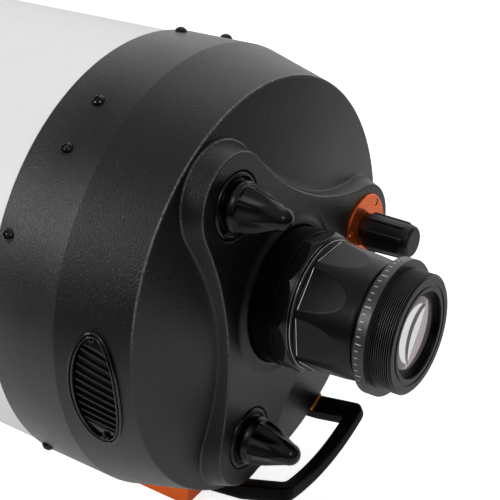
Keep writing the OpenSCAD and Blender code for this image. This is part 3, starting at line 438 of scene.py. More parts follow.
def black_anodised(name="black_anodised", tone=0.0030, rough=0.32, turned=0.004, specular=0.5,
                   crest=0.0, cuts=(), chord=0.0):
    """Satin black anodised aluminium with fine turning marks along its axis. Where crest is
    given, the surface beyond that radius is painted lighter, a painted highlight on the crests.
    Each of cuts is a station and a half width of a line painted as bright metal, a painted
    highlight of an edge. chord is the distance from the axis of eight flats whose painted highlight
    lines are bright only along a line that wide from it, or 0."""
    satin, flat_step, marks_per_mm = 0.25, 360 / 8, 2.2
    f = Finish(name, Metallic=satin, Specular_IOR_Level=specular)
    x, up, rho, s = f.about_the_axis()
    marks = f.node("ShaderNodeTexNoise", {"noise_dimensions": "1D"}, W=s * marks_per_mm,
                   Scale=1.0, Detail=3.0)
    cloud = f.noise(14)
    colour = f.mix(cloud, grey(tone), grey(tone * 1.5))
    if crest:
        # The crests painted lighter: a painted highlight
        painted_highlight = ((rho - crest) * 6).clipped() * (0.65 + f.noise(4) * 0.5)
        colour = f.mix(painted_highlight.clipped(), colour, grey(0.20))
    if cuts:
        # Lines painted as bright metal: painted highlights of edges
        painted_line_highlight = sum(((half - abs(s - at)) * 12).clipped() for at, half in cuts).clipped()
        if chord:
            # The angle from the middle of the nearest flat; two whole turns keep it positive
            half_step = flat_step / 2
            aside = (in_degrees(up, x) + (720 + half_step)) % flat_step - half_step
            from_flat = rho * (aside * (np.pi / 180)).cosine() - chord
            painted_line_highlight = painted_line_highlight * ((0.32 - abs(from_flat - 0.15)) * 8).clipped()
        colour = f.mix(painted_line_highlight, colour, grey(0.55))
        f.give(Metallic=painted_line_highlight * 0.6 + satin)
    f.give(Base_Color=colour, Roughness=rough + (marks - 0.5) * 0.10 + (cloud - 0.5) * 0.06)
    return f.raise_by(marks, turned)


def scale_anodised():
    """Satin black anodised aluminium with a plain scale of fine white strokes round it, six
    degrees apart, every fifth one longer."""
    f = Finish("scale_anodised", Metallic=0.25, Specular_IOR_Level=0.5)
    x, up, rho, s = f.about_the_axis()
    positive = in_degrees(up, x) + 720
    start = INDEX_S + 1.5

    def strokes(step, half, length):
        """1 on strokes step degrees apart, twice half wide and length long, and 0 elsewhere."""
        aside = abs(positive % step - step / 2)
        return (aside < half) * (s > start) * (s < start + length) * (rho > INDEX_R - 0.3)

    marks = (strokes(6.0, 0.30, 2.4) + strokes(30.0, 0.34, 4.2)).clipped()
    fine = f.noise(0.5)
    f.give(Base_Color=f.mix(marks, f.mix(f.noise(12), grey(0.035), grey(0.045)), grey(0.62)),
           Roughness=0.36 + (fine - 0.5) * 0.12 + marks * 0.15)
    return f.raise_by(fine, 0.003)


def orange_anodised(name="orange_anodised", colour=(0.90, 0.175, 0.030), deep=(0.80, 0.120, 0.016),
                    rough=0.22, metallic=0.85):
    """Orange anodised aluminium with fine turning marks and a slight change of depth."""
    f = Finish(name, Metallic=metallic, Specular_IOR_Level=0.6)
    fine = f.noise(0.5, 3.0, 0.6)
    f.give(Base_Color=f.mix(f.noise(16), deep, colour), Roughness=rough + (fine - 0.5) * 0.14)
    return f.raise_by(fine, 0.006)


def bare_metal(name, colour, rough):
    """Machined metal with fine marks."""
    f = Finish(name, Metallic=1.0)
    fine = f.noise(0.4, 4.0, 0.6)
    dark = tuple(c * 0.82 for c in colour)
    f.give(Base_Color=f.mix(f.noise(9, 3.0), dark, colour), Roughness=rough + (fine - 0.5) * 0.18)
    return f.raise_by(fine, 0.004)


def coated_glass():
    """Plate and lens glass with a thin coating that tints what it reflects."""
    f = Finish("coated_glass", Roughness=0.0, Transmission_Weight=1.0, IOR=1.6,
               Coat_Roughness=0.02, Coat_IOR=1.8, Coat_Tint=(0.94, 0.88, 0.98, 1))
    return f.give(Base_Color=f.mix(f.noise(18, 1.0), (0.93, 0.97, 0.95), (0.97, 0.95, 0.98)),
                  Coat_Weight=0.45 + f.noise(25, 1.0) * 0.2)


def coated_lens_painted_reflections():
    """The rear lens: its violet-pink coating and painted pale rings, painted reflections standing
    in for those of inner faces. The disc inside 20.9 mm is painted pale, apart from a painted dark
    reflection in a crescent between two offset circles, and beyond a straight line across the lens
    the coating's own pink shows."""
    f = Finish("coated_lens_painted_reflections", Roughness=0.06, Coat_Roughness=0.02)
    x, up, rho, _ = f.about_the_axis()

    def distance(at_x, at_up):
        """The distance from the middle of an offset circle."""
        return ((x - at_x) * (x - at_x) + (up - at_up) * (up - at_up)) ** 0.5

    near, far = distance(17.0, -12.0), distance(11.0, -6.5)
    across = x * 0.79 - up * 0.61 + (f.noise(9, 1.0) - 0.5) * 1.5
    # Pale, mirror-like zones: painted reflections
    inner = (((26.0 - near) * 2.2).clipped() * (4.6 - across).clipped()
             * ((19.4 - rho) * 1.5).clipped())
    outer = ((far - 23.6) * 1.6).clipped() * ((20.9 - rho) * 2.5).clipped()
    pale = (inner + outer).clipped()
    # A dark crescent: a painted dark reflection
    dark = (((near - 25.8) * 2.0).clipped() * ((23.9 - far) * 1.6).clipped()
            * ((21.4 - rho) * 2.0).clipped())
    brown = ((rho - 20.8) * 1.5).clipped() * ((4 - across) * 0.3).clipped()
    pink = f.mix(((across - 4) * 0.06).clipped(), (0.56, 0.46, 0.52), (0.40, 0.33, 0.37))
    colour = f.mix(dark, f.mix(brown, pink, (0.10, 0.045, 0.04)), (0.022, 0.010, 0.026))
    # The painted reflections are mirror-like metal, and the painted dark reflection less so
    return f.give(Base_Color=f.mix(pale, colour, (0.98, 0.97, 0.99)),
                  Metallic=0.40 + pale * 0.58 - dark * 0.3, Coat_Weight=0.85 - dark * 0.7)


def polished_mirror():
    """Aluminised mirror with faint dust."""
    f = Finish("polished_mirror", Metallic=1.0)
    speck = 0.66
    dust = ((f.noise(0.8, 3.0) - speck) * 4).clipped()
    return f.give(Base_Color=f.mix(f.noise(30), grey(0.86), grey(0.90)),
                  Roughness=0.02 + dust * 0.15)


def woven_mesh():
    """Dark woven mesh: two crossed rows of fine wires raised by a wave."""
    f = Finish("woven_mesh", Metallic=0.5, Roughness=0.5)
    wave_number = 5.2
    _, y, z = f.parts(f.where())
    warp, weft = (y * wave_number).sine(), (z * wave_number).sine()
    wires = (abs(warp) * 0.5 + abs(weft) * 0.5).clipped()
    f.give(Base_Color=f.mix(wires, grey(0.002), grey(0.02)))
    return f.raise_by(wires, 0.2)


cast_paint = cast_black_paint()
handle_plastic = cast_black_paint("handle_black_plastic", tone=0.0010, rough=0.50, depth=0.02,
                                  specular=0.08)
knob_gloss = gloss_black_plastic()
vent_plastic = gloss_black_plastic("vent_black_plastic", tone=0.0016, rough=0.15, wave=0.01,
                                   specular=0.55)
screw_black = gloss_black_plastic("blackened_screw_steel", tone=0.0008, rough=0.10, wave=0.0,
                                  specular=0.32)
rubber = black_rubber()
anodised = black_anodised()
hub_finish = black_anodised("hub_anodised", tone=0.0010, rough=0.36, turned=0.003, specular=0.12)
# The lock ring's cuts and the body's cut are painted highlight lines on edges, and the thread's
# crest is painted lighter, a painted highlight
lock_finish = black_anodised("lock_ring_anodised", tone=0.0016, rough=0.22, turned=0.002,
                             specular=0.45, cuts=[(LOCK_END - 2.25, 0.16), (LOCK_END - 0.12, 0.16)])
body_finish = black_anodised("reducer_body_anodised", tone=0.0024, rough=0.30, specular=0.30,
                             cuts=[(LOCK_END + 3.8, 0.25)], chord=44.05)
thread_finish = black_anodised("thread_anodised", tone=0.0012, rough=0.30, turned=0.0,
                               specular=0.30, crest=41.70)
scale_finish = scale_anodised()
lens_finish = coated_lens_painted_reflections()
orange = orange_anodised()
amber = orange_anodised("amber_spacer", (0.98, 0.42, 0.05), (0.90, 0.32, 0.03), 0.3, 0.3)
brass = bare_metal("turned_brass", (0.80, 0.55, 0.22), 0.22)

FINISH_OF_SLOT = {
    "white_paint": white_tube_paint(), "black_casting": cast_paint, "black_screws": screw_black,
    "steel": bare_metal("machined_steel", (0.55, 0.55, 0.56), 0.28), "glass": coated_glass(),
    "mirror": polished_mirror(), "black_plastic": vent_plastic, "knob_plastic": knob_gloss,
    "orange_anodised": orange, "brass": brass, "black_anodised": anodised,
    "bare_aluminium": bare_metal("bare_aluminium", (0.74, 0.74, 0.75), 0.34),
    "mesh": woven_mesh(), "rubber": rubber,
}
FINISH_OF_NODE = {"handle_spacers": amber, "carry_handle": handle_plastic,
                  "focus_plate_screws": brass, "focus_knob_core": anodised}
for name, thing in nodes.items():
    finish = FINISH_OF_NODE.get(name) or FINISH_OF_SLOT[slot_of[name]]
    if not thing.material_slots:
        thing.data.materials.append(finish.material)
    for slot in thing.material_slots:
        slot.material = finish.material


# ---- Rear cell ----

CAST_TURNS = turns(720)


def lobe_outline(angle, grow):
    """Radius of the raised part's outline, grown by a distance: the circle of the nearest lobe,
    and beyond the point where the two touch, the large circle that hollows the side between
    two lobes."""
    phi = np.abs(off_axis(angle, 3))
    lobe, scoop = np.asarray(LOBE_R + grow), SCOOP_R - grow
    to_scoop = np.array([SCOOP_PITCH * 0.5 - LOBE_PITCH, SCOOP_PITCH * np.sqrt(0.75)])
    touch = np.array([LOBE_PITCH, 0]) + lobe[..., None] * (to_scoop / (LOBE_R + SCOOP_R))
    at_touch = np.degrees(np.arctan2(touch[..., 1], touch[..., 0]))
    a, b = np.radians(phi), np.radians(60 - phi)
    on_lobe = LOBE_PITCH * np.cos(a) + np.sqrt(
        np.maximum(lobe**2 - (LOBE_PITCH * np.sin(a)) ** 2, 0))
    on_scoop = SCOOP_PITCH * np.cos(b) - np.sqrt(
        np.maximum(scoop**2 - (SCOOP_PITCH * np.sin(b)) ** 2, 0))
    return np.where(phi <= at_touch, on_lobe, on_scoop)


def side_grow(s):
    """How far the raised part's leaning side stands outside its outline at station s."""
    return 0.5 + (LOBE_TOP - 1 - s) * SIDE_LEAN


def back_s(rho):
    """Station of the shallow cone behind the sharp edge."""
    return BACK_S - (rho - BACK_R) * (BACK_S - EDGE_S - 0.1) / (BACK_RIM_R - BACK_R)


def ring(rho, s):
    """One of the casting's rows: (radius, station) for each of its turns."""
    return np.stack(np.broadcast_arrays(rho, s, CAST_TURNS)[:2], -1)


def bent(a, corner, b, steps):
    """Rows on a quadratic curve from row a to row b that is pulled towards a corner."""
    t = np.linspace(0, 1, steps)[:, None, None]
    return (1 - t) ** 2 * a + 2 * t * (1 - t) * corner + t**2 * b


def between(a, b, shares):
    """Rows at the given shares of the way from row a to row b."""
    return a + (b - a) * np.array(shares)[:, None, None]


def towards(p, q, distance):
    """The point at a distance from p on the way to q."""
    d = q - p
    return p + d / np.linalg.norm(d, axis=-1, keepdims=True) * np.asarray(distance)[..., None]


def casting_rows():
    """The casting's rows: from its flat top over the raised part's soft edge, down the leaning
    side, through the cove at its foot, out over the back cone and the sharp edge, along the
    conical and the straight band, and back inside. The first of them follow the lobed outline,
    so the fillets run along it."""
    foot_s = np.full(len(CAST_TURNS), float(FOOT_S))
    for _ in range(12):
        # The foot is where the leaning side meets the back cone
        foot_rho = lobe_outline(CAST_TURNS, side_grow(foot_s))
        foot_s = back_s(foot_rho)
    foot, out_corner = ring(foot_rho, foot_s), ring(BACK_RIM_R, back_s(BACK_RIM_R))

    top_corner = ring(lobe_outline(CAST_TURNS, TOP_GROW), LOBE_TOP)
    flat_in = ring(lobe_outline(CAST_TURNS, TOP_GROW - 1.0), LOBE_TOP)
    side_start = ring(lobe_outline(CAST_TURNS, TOP_GROW + 1.1 * SIDE_LEAN), LOBE_TOP - 1.1)
    soft_top = bent(flat_in, top_corner, side_start, 8)

    room = np.minimum(1.7, 0.42 * (BACK_RIM_R - foot_rho))
    side_end = towards(foot, top_corner, room * 1.1)
    cove_end = towards(foot, out_corner, room)
    cove = bent(side_end, foot, cove_end, 9)
    side = between(soft_top[-1], side_end, (0.2, 0.4, 0.6, 0.8, 0.93))
    before_edge = towards(out_corner, cove_end, 0.3 + 0.2 * room)
    back = between(cove_end, before_edge, (0.04, 0.12, 0.25, 0.4, 0.55, 0.7, 0.85, 1))

    edge_tip, edge_out = ring(EDGE_R + 0.15, EDGE_S), ring(cone_r(EDGE_S - 0.9), EDGE_S - 0.9)
    edge = bent(towards(edge_tip, out_corner, 0.7), edge_tip, edge_out, 7)
    cone = [(cone_r(s), s) for s in np.linspace(EDGE_S - 1.5, CORNER_S + 3, 28)]

    # The straight band, the seat of the tube, and the wall's inner side
    inside_r, bore_r, boss_s, boss_r = 156, 25.1, 100, 42
    seat_r, seat_s, inner_s = CELL_R - 2.4, 22, BACK_S - CAST_WALL - 2
    inner = eased([(cone_r(CORNER_S + 3), CORNER_S + 3), (CELL_R, CORNER_S), (CELL_R, 30),
                   (CELL_R, 0), (seat_r, 0), (seat_r, seat_s), (inside_r, seat_s),
                   (inside_r, BAND_LEN), (EDGE_R - CAST_WALL - 0.5, EDGE_S - CAST_WALL),
                   (BACK_R, inner_s), (48, inner_s), (boss_r, boss_s), (bore_r, boss_s),
                   (bore_r, LOBE_TOP - 0.4), (HUB_R, LOBE_TOP - 0.4), (HUB_R + 0.02, LOBE_TOP)],
                  [0, 0.5, 0, 1.1, 0.6] + [0] * 11, 3, loop=False)
    rings = [ring(rho, s) for rho, s in cone + list(inner[1:])]
    return np.concatenate([[flat_in - [0.5, 0]], soft_top, side, cove, back, edge, rings])


def outside_vents(points, quads):
    """Which faces stay: the vents cut an oval through both walls of the conical band."""
    centre = points[quads].mean(1)
    across = np.hypot(centre[:, 0], centre[:, 1])
    turn = np.degrees(np.arctan2(centre[:, 1], centre[:, 0]))
    half_l, half_w, inmost = VENT_LEN / 2 - 2, VENT_W / 2 - 2, 130
    keep = np.ones(len(quads), bool)
    for angle in VENT_ANGLES.values():
        away = np.radians(turn - angle)
        inside = (across * np.sin(away) / half_l) ** 2 + ((centre[:, 2] - VENT_S) / half_w) ** 2 < 1
        keep &= ~(inside & (np.cos(away) > 0) & (across > inmost))
    return keep


def flat_top(outline, cove_rim, holes):
    """The flat top: a triangulated sheet between the outline, the rim of the hub's cove and the
    rims of round holes, each given as its middle and radius."""
    loops = [outline, round_about(cove_rim, CAST_TURNS, LOBE_TOP)]
    loops += [round_about(r, turns(180), LOBE_TOP, at) for at, r in holes]
    edges, first = [], 0
    for loop in loops:
        i = np.arange(len(loop))
        edges += list(zip((first + i).tolist(), (first + (i + 1) % len(loop)).tolist()))
        first += len(loop)
    flat = [Vector(v) for v in np.concatenate(loops)[:, :2]]
    verts, _, tris, _, _, _ = delaunay_2d_cdt(flat, edges, [], 0, 1e-6)
    verts, tris = np.array([tuple(v) for v in verts]), np.array(tris)

    mid = verts[tris].mean(1)
    rho, turn = np.hypot(mid[:, 0], mid[:, 1]), np.degrees(np.arctan2(mid[:, 1], mid[:, 0]))
    good = (rho > cove_rim) & (rho < lobe_outline(turn, TOP_GROW - 1.0) - 0.5)
    for at, r in holes:
        good &= np.hypot(mid[:, 0] - at[0], mid[:, 1] - at[1]) > r
    tris = tris[good]
    a, b, c = (verts[tris[:, i]] for i in range(3))
    turned_up = (b - a)[:, 0] * (c - a)[:, 1] > (b - a)[:, 1] * (c - a)[:, 0]
    tris = np.where(turned_up[:, None], tris, tris[:, ::-1])
    return np.column_stack([verts, np.full(len(verts), LOBE_TOP)]), [tris]


def recess(at, r, floor, lip):
    """A round recess in the flat top: its rounded lip, its wall and its floor."""
    t = np.radians(np.linspace(0, 90, 6))[1:]
    round_lip = np.stack([r + lip - lip * np.sin(t), LOBE_TOP - lip + lip * np.cos(t)], 1)
    profile = np.concatenate([
        [(r + lip + 0.3, LOBE_TOP), (r + lip, LOBE_TOP)], round_lip,
        [(r, LOBE_TOP - lip - 0.3), (r, floor + 0.3), (r - 0.2, floor), (r - 0.5, floor),
         (0, floor)]])
    points = round_about(profile[:, :1], turns(180)[None], profile[:, 1:], at)
    return points, [grid_faces(len(profile), 180)]


def hub_cove(cove_r):
    """The low ring round the hub, and the cove up to it from the flat top, which it meets a
    little beyond cove_r."""
    profile = smooth_path([
        (cove_r + 0.6, LOBE_TOP), (cove_r + 0.3, LOBE_TOP), (HUB_R + 8.2, LOBE_TOP + 0.22),
        (HUB_R + 6.2, LOBE_TOP + 0.9), (HUB_R + 4.4, LOBE_TOP + 1.75),
        (HUB_R + 2.8, LOBE_TOP + 2.3), (HUB_R + 1.5, LOBE_TOP + 2.3),
        (HUB_R + 0.6, LOBE_TOP + 1.6), (HUB_R + 0.25, LOBE_TOP + 0.4), (HUB_R + 0.02, LOBE_TOP)], 3)
    points = round_about(profile[:, :1], CAST_TURNS[None], profile[:, 1:])
    return points, [grid_faces(len(profile), len(CAST_TURNS))]


def rear_cell():
    """The cast rear cell: a skin whose rows are (radius, station) for each turn, the flat top
    with its recesses for the focus plate and the clutches, and the cove up to the hub."""
    rows = casting_rows()
    skin = round_about(rows[..., 0], CAST_TURNS, rows[..., 1])
    quads = grid_faces(len(rows), len(CAST_TURNS))[:, ::-1]
    quads = quads[outside_vents(skin.reshape(-1, 3), quads)]

    # Each recess: its middle, radius, floor and lip
    recesses = [(middle("focus_plate"), PLATE_R + 0.15, PLATE_S, 0.35)]
    recesses += [(middle(node), CLUTCH_R + 0.7, LOBE_TOP - 3, 0.9)
                 for node in ("clutch_knob_upper", "clutch_knob_lower")]
    cove_r = HUB_R + 10.0
    sheet = flat_top(skin[0], cove_r + 0.6, [(at, r + lip + 0.3) for at, r, _, lip in recesses])
    parts = [(skin, [quads]), sheet] + [recess(*sizes) for sizes in recesses] + [hub_cove(cove_r)]
    thing = build("rear_cell_casting", *joined(parts), merge=0.002)
    mark_edges(thing)
    stands_for(thing, cast_paint, "rear_cell")


def mark_edges(thing):
    """Writes the attribute named edge on the casting: a bell curve of the distance from each
    sharp line, along which the paint takes painted highlights. It is 1 along the upper half of the
    edge between band and back, and less along the rest of it, the raised part's top and foot,
    painted brighter round the top, and the front rim."""
    flat = np.zeros(len(thing.data.vertices) * 3, np.float32)
    thing.data.vertices.foreach_get("co", flat)
    p = flat.reshape(-1, 3).astype(float)
    up, s = (p[:, 2] - AXIS_Z) / MM, station(p[:, 1])
    rho = np.hypot(p[:, 0] / MM, up)
    turn = np.degrees(np.arctan2(up, p[:, 0] / MM))

    def bell(rho_0, s_0, width):
        """1 on the circle of that radius and station, and less at about a width from it."""
        return np.exp(-((rho - rho_0) ** 2 + (s - s_0) ** 2) / width**2)

    foot = lobe_outline(turn, side_grow(FOOT_S))
    at_foot = np.exp(-((rho - foot) / 0.6) ** 2) * (np.abs(s - back_s(foot)) < 1.2)
    # Painted highlight on the upper half up to its left end, and most round the top
    least_painted_highlight, left_end, fade, top_turn, top_spread = 0.12, 172, 14, 80, 30
    painted_highlight = np.where(turn > 0, np.clip((left_end - turn) / fade, least_painted_highlight, 1), least_painted_highlight)
    upper = 0.9 * np.exp(-((turn - top_turn) / top_spread) ** 2)
    # Each of these is a painted highlight line
    lines = [painted_highlight * bell(EDGE_R - 0.1, EDGE_S - 0.1, 0.55),
             (0.42 + upper) * bell(lobe_outline(turn, TOP_GROW + 0.15), LOBE_TOP - 0.3, 0.5),
             (0.25 + upper) * at_foot, 0.55 * bell(CELL_R, 0.2, 0.6)]
    edge = thing.data.attributes.new("edge", "FLOAT", "POINT")
    edge.data.foreach_set("value", np.maximum.reduce(lines).astype(np.float32))


rear_cell()


# ---- Vents ----

def on_band(aside, along, height, angle):
    """A point of the conical band: aside round the cell, along its axis, and height above it."""
    lean = np.radians(BAND_ANGLE)
    rho = cone_r(VENT_S + along) + height * np.cos(lean)
    s = VENT_S + along + height * np.sin(lean)
    turn = angle + np.degrees(np.arcsin(np.clip(aside / rho, -1, 1)))
    return round_about(rho, turn, s)


def vent(node, angle):
    """An oval vent: a frame with two rounded rims and a channel between them, swept round the
    oval; an end plate at each end; and leaning slats with rounded upper edges between them."""
    count = 220
    t = np.radians(turns(count))
    half_l, half_w, rim_w = VENT_LEN / 2, VENT_W / 2, 4.05
    rim = smooth_path([(0, 0.05), (0.02, 0.9), (0.35, 1.7), (0.9, 2.0), (1.45, 1.6), (1.8, 0.8),
                       (2.1, 0.45), (2.4, 0.8), (2.8, 1.5), (3.3, 1.7), (3.8, 1.35), (rim_w, 0.6),
                       (4.1, -0.6), (4.1, -1.8), (4.1, -3.0)], 3)
    inset, height = rim[:, :1], rim[:, 1:]
    swept = on_band((half_l - inset) * np.cos(t), (half_w - inset) * np.sin(t), height + 0 * t,
                    angle)
    parts = [(swept, [grid_faces(len(rim), count, loop=True)])]

    inner_l, inner_w = half_l - rim_w, half_w - rim_w
    slats, span = 10, 2 * (inner_l - 9.5)
    lean = np.radians(24)
    slope = np.tan(lean)

    def slat_ends(at):
        """Where a line that leans as the slats do, and crosses the vent's length at a distance
        from its middle, meets the opening's oval: the two roots of a quadratic."""
        a = (slope / inner_l) ** 2 + 1 / inner_w**2
        b = 2 * at * slope / inner_l**2
        root = np.sqrt(max(b * b - 4 * a * ((at / inner_l) ** 2 - 1), 0))
        return (np.array([-root, root]) - b) / (2 * a)

    # End plates: the oval's ends beyond the slats, sunk a little and curved down to the slats
    plate_rows, plate_columns, plate_t = 14, 25, 0.9
    tips = slat_ends(span / 2) / inner_w + [0.01, -0.01]
    for side in (-1, 1):
        u, v = np.meshgrid(np.linspace(0, 1, plate_rows), np.linspace(*tips, plate_columns),
                           indexing="ij")
        start = span / 2 + slope * inner_w * v
        across = side * (start + (inner_l * np.sqrt(1 - v**2) - start) * u)
        drop = -0.5 - 2.4 * np.clip((0.12 - u) / 0.12, 0, 1) ** 2
        top, under = (on_band(across, side * inner_w * v, drop - sunk, angle)
                      for sunk in (0, plate_t))
        parts.append((np.concatenate([top, under[::-1]]), bar_faces(2 * plate_rows, plate_columns)))

    # Slats: each a thin blade with a round upper edge, leaning over round the cell
    blade = np.array([(-0.85, -2.9), (-0.85, -0.9), (-0.7, -0.5), (-0.35, -0.25), (0.1, -0.25),
                      (0.5, -0.45), (0.75, -0.85), (0.85, -1.4), (0.85, -2.9)])
    into_rim, slat_columns = 0.2, 15
    for at in (np.arange(slats) + 0.5 - slats / 2) * span / slats:
        ends = slat_ends(at) + [-into_rim, into_rim]
        v = np.linspace(*ends, slat_columns)[None]
        across = at + blade[:, :1] / np.cos(lean) + v * slope
        parts.append((on_band(across, v + 0 * across, blade[:, 1:] + 0 * v, angle),
                      bar_faces(len(blade), slat_columns)))
    stands_for(build(node.replace("grille", "louvre"), *joined(parts)), vent_plastic, node)


for node, angle in VENT_ANGLES.items():
    vent(node, angle)


# ---- Clutch knobs and focus knob ----

def clutch_knob(node):
    """A pointed knob. Its flange is a ring with a broad rounded crest and a dished inside. Its
    body is a turned bullet with a collar and a ball nose. Eight hollows start at a step behind
    the collar and run out before the nose. In a hollow the radius is that of a round cut whose
    floor falls in a straight line, where this is less than the bullet's own radius."""
    at, angle = middle(node), turns(288)
    top, tip, nose_r = CLUTCH_S + 3.4, CLUTCH_END - 1.0, 7.9
    collar_r, bullet_s = 16.6, top + 8.8
    flange = smooth_path([
        (0, CLUTCH_S), (18, CLUTCH_S), (CLUTCH_R - 0.4, CLUTCH_S), (CLUTCH_R, CLUTCH_S + 0.5),
        (CLUTCH_R, CLUTCH_S + 1.7), (CLUTCH_R - 0.45, top - 0.75), (CLUTCH_R - 1.2, top - 0.1),
        (CLUTCH_R - 2.1, top + 0.1), (CLUTCH_R - 3.0, top - 0.3), (CLUTCH_R - 3.8, top - 1.1),
        (CLUTCH_R - 4.7, top - 1.6), (collar_r, top - 1.7)], 4)
    collar = smooth_path([
        (collar_r, top - 1.7), (16.7, top - 0.3), (17.0, top + 1.2), (17.75, top + 2.3),
        (18.05, top + 3.4), (17.95, top + 4.6), (17.4, top + 5.6), (16.75, top + 6.5),
        (16.5, top + 7.4)], 4)
    ledge = [(16.45, top + 7.8), (16.42, top + 8.05), (16.38, top + 8.3), (16.35, top + 8.5)]
    bullet = smooth_path([
        (16.3, bullet_s), (15.9, top + 11.2), (15.2, top + 14), (14.0, top + 18.5),
        (11.8, top + 23.9), (9.6, top + 29.4), (8.35, top + 32.4)], 7)
    t = np.radians(np.linspace(8, 90, 16))
    ball = np.stack([nose_r * np.cos(t), tip - nose_r + nose_r * np.sin(t)], 1)
    rows = np.concatenate([collar[:-1], ledge, bullet, ball])
    rho0, s = rows[:, :1], rows[:, 1:]

    hollows, turned_by, cut_r, floor_r, fall, outside = 8, 20.5, 10.0, 13.9, 0.205, 40
    delta = np.radians(off_axis(angle, hollows, turned_by))[None]
    centre = floor_r - fall * (s - bullet_s) + cut_r
    side = centre * np.cos(delta) - np.sqrt(np.maximum(cut_r**2 - (centre * np.sin(delta)) ** 2, 0))
    side = np.where(np.abs(centre * np.sin(delta)) < cut_r, side, outside)
    step = np.clip((s - top - 7.9) / 0.4, 0, 1)
    rho = np.where(step > 0, rho0 + (least(rho0 + 0 * delta, side, 1.1) - rho0) * step, rho0)
    rho = np.where(rho0 < 0.05, rho0, rho)
    parts = [(round_about(flange[:, :1], angle[None], flange[:, 1:], at),
              [grid_faces(len(flange), len(angle))]),
             (round_about(rho, angle[None], s, at), [grid_faces(len(rows), len(angle))])]
    stands_for(build(node + "_moulding", *joined(parts), merge=0.002), knob_gloss, node)


clutch_knob("clutch_knob_upper")
clutch_knob("clutch_knob_lower")


def focus_knob():
    """A rubber grip: a slightly conical body with eight round-backed ribs that end in a dome
    short of its bevelled end, and a fine ring groove in the end face."""
    body, angle = KNOB_R - 0.8, turns(480)
    profile = eased([(0, KNOB_S), (body - 0.5, KNOB_S), (body, KNOB_S + 0.5),
                     (body - 0.8, KNOB_END - 6), (body - 1.9, KNOB_END - 1.4),
                     (body - 3.4, KNOB_END), (9.6, KNOB_END), (9.3, KNOB_END - 0.35),
                     (9.0, KNOB_END), (0, KNOB_END)],
                    [0, 0.3, 0.4, 1.5, 1.2, 1.0, 0.12, 0.12, 0.12, 0], 5, loop=False)
    # Rows along the body at most 0.8 mm apart, so that the ribs can rise between them
    fill = [profile[:1]]
    for a, b in zip(profile[:-1], profile[1:]):
        steps = max(1, int(abs(b[1] - a[1]) / 0.8))
        fill.append(a + (b - a) * np.arange(1, steps + 1)[:, None] / steps)
    rows = np.concatenate(fill)
    rho0, s = rows[:, :1], rows[:, 1:]

    ribs, turned_by, rib_h, rib_half = 8, 19, 1.05, 1.55
    aside = np.radians(off_axis(angle, ribs, turned_by)[None]) * body
    back = np.sqrt(np.maximum(1 - (aside / rib_half) ** 2, 0))
    start, end = KNOB_S + 0.6, KNOB_S + 32.2
    along = np.minimum(np.clip((s - start) / 0.8, 0, 1), np.sqrt(np.clip((end - s) / 1.6, 0, 1)))
    rib = rib_h * back * along * (rho0 > body - 1.6)
    points = round_about(rho0 + rib, angle[None], s, middle("focus_knob_grip"))
    thing = build("focus_knob_rubber", points, [grid_faces(len(rows), len(angle))], 0.002)
    stands_for(thing, rubber, "focus_knob_grip")


focus_knob()


# ---- Hub, lock ring and reducer ----

def rear_hub():
    """The hub: a plain turned drum with soft edges and a spigot behind it."""
    spigot, bore, inlet, floor = 45, 34, 25.05, HUB_S + 6
    shoulder = HUB_S + 19.5
    profile = eased([(inlet, HUB_S), (HUB_R, HUB_S), (HUB_R, shoulder), (spigot, shoulder),
                     (spigot, HUB_END), (bore, HUB_END), (bore, floor), (inlet, floor)], 0.8, 5)
    stands_for(lathe("rear_hub_turning", profile, 300), hub_finish, "rear_hub")


rear_hub()


def lock_ring():
    """The ten-sided lock ring: the smaller of a decagon prism and a turned ring. The turned
    ring has a narrow chamfer that cuts the corners, and behind it two low steps with a groove
    in front of each."""
    sides, corner, turned_by, angle = 10, 50.8, 26, turns(720)
    half_side = 180 / sides
    back, chamfer, step_r = LOCK_END - 6.2, 3.7, 47.95
    outside = np.concatenate([
        [(45.1, LOCK_S), (corner - 0.9, LOCK_S), (corner - 0.4, LOCK_S + 0.15),
         (corner, LOCK_S + 0.6), (corner + 0.2, LOCK_S + 1.2)],
        np.stack([np.full(6, corner + 0.2), np.linspace(LOCK_S + 1.8, back - 0.3, 6)], 1),
        np.stack([np.linspace(corner + 0.1, 48.05, 24), np.linspace(back, back + chamfer, 24)], 1),
        [(47.9, LOCK_END - 2.46), (47.2, LOCK_END - 2.44), (47.1, LOCK_END - 2.36),
         (47.1, LOCK_END - 2.0), (47.2, LOCK_END - 1.92), (47.4, LOCK_END - 1.9),
         (47.65, LOCK_END - 1.8), (47.7, LOCK_END - 1.6), (47.7, LOCK_END - 1.3),
         (47.55, LOCK_END - 1.12), (47.25, LOCK_END - 1.08), (46.3, LOCK_END - 1.06),
         (46.2, LOCK_END - 1.0), (46.2, LOCK_END - 0.8), (46.3, LOCK_END - 0.74),
         (46.5, LOCK_END - 0.7), (46.62, LOCK_END - 0.6), (46.62, LOCK_END - 0.25),
         (46.5, LOCK_END - 0.06), (46.3, LOCK_END), (45.2, LOCK_END), (42.1, LOCK_END),
         (41.6, LOCK_END - 0.1), (41.5, LOCK_END - 0.5), (41.5, LOCK_END - 3),
         (45.05, LOCK_END - 3.01), (45.05, LOCK_S + 0.01)]])
    rho0, s = outside[:, :1], outside[:, 1:]
    flat = corner * np.cos(np.radians(half_side))
    prism = flat / np.cos(np.radians(off_axis(angle, sides, turned_by + half_side)))[None]
    rho = np.where(rho0 < step_r, rho0, least(rho0 + 0 * prism, prism + 0 * rho0, 0.22))
    thing = build("reducer_lock_ring_turning", round_about(rho, angle[None], s),
                  [grid_faces(len(outside), len(angle), loop=True)])
    stands_for(thing, lock_finish, "reducer_lock_ring")


lock_ring()


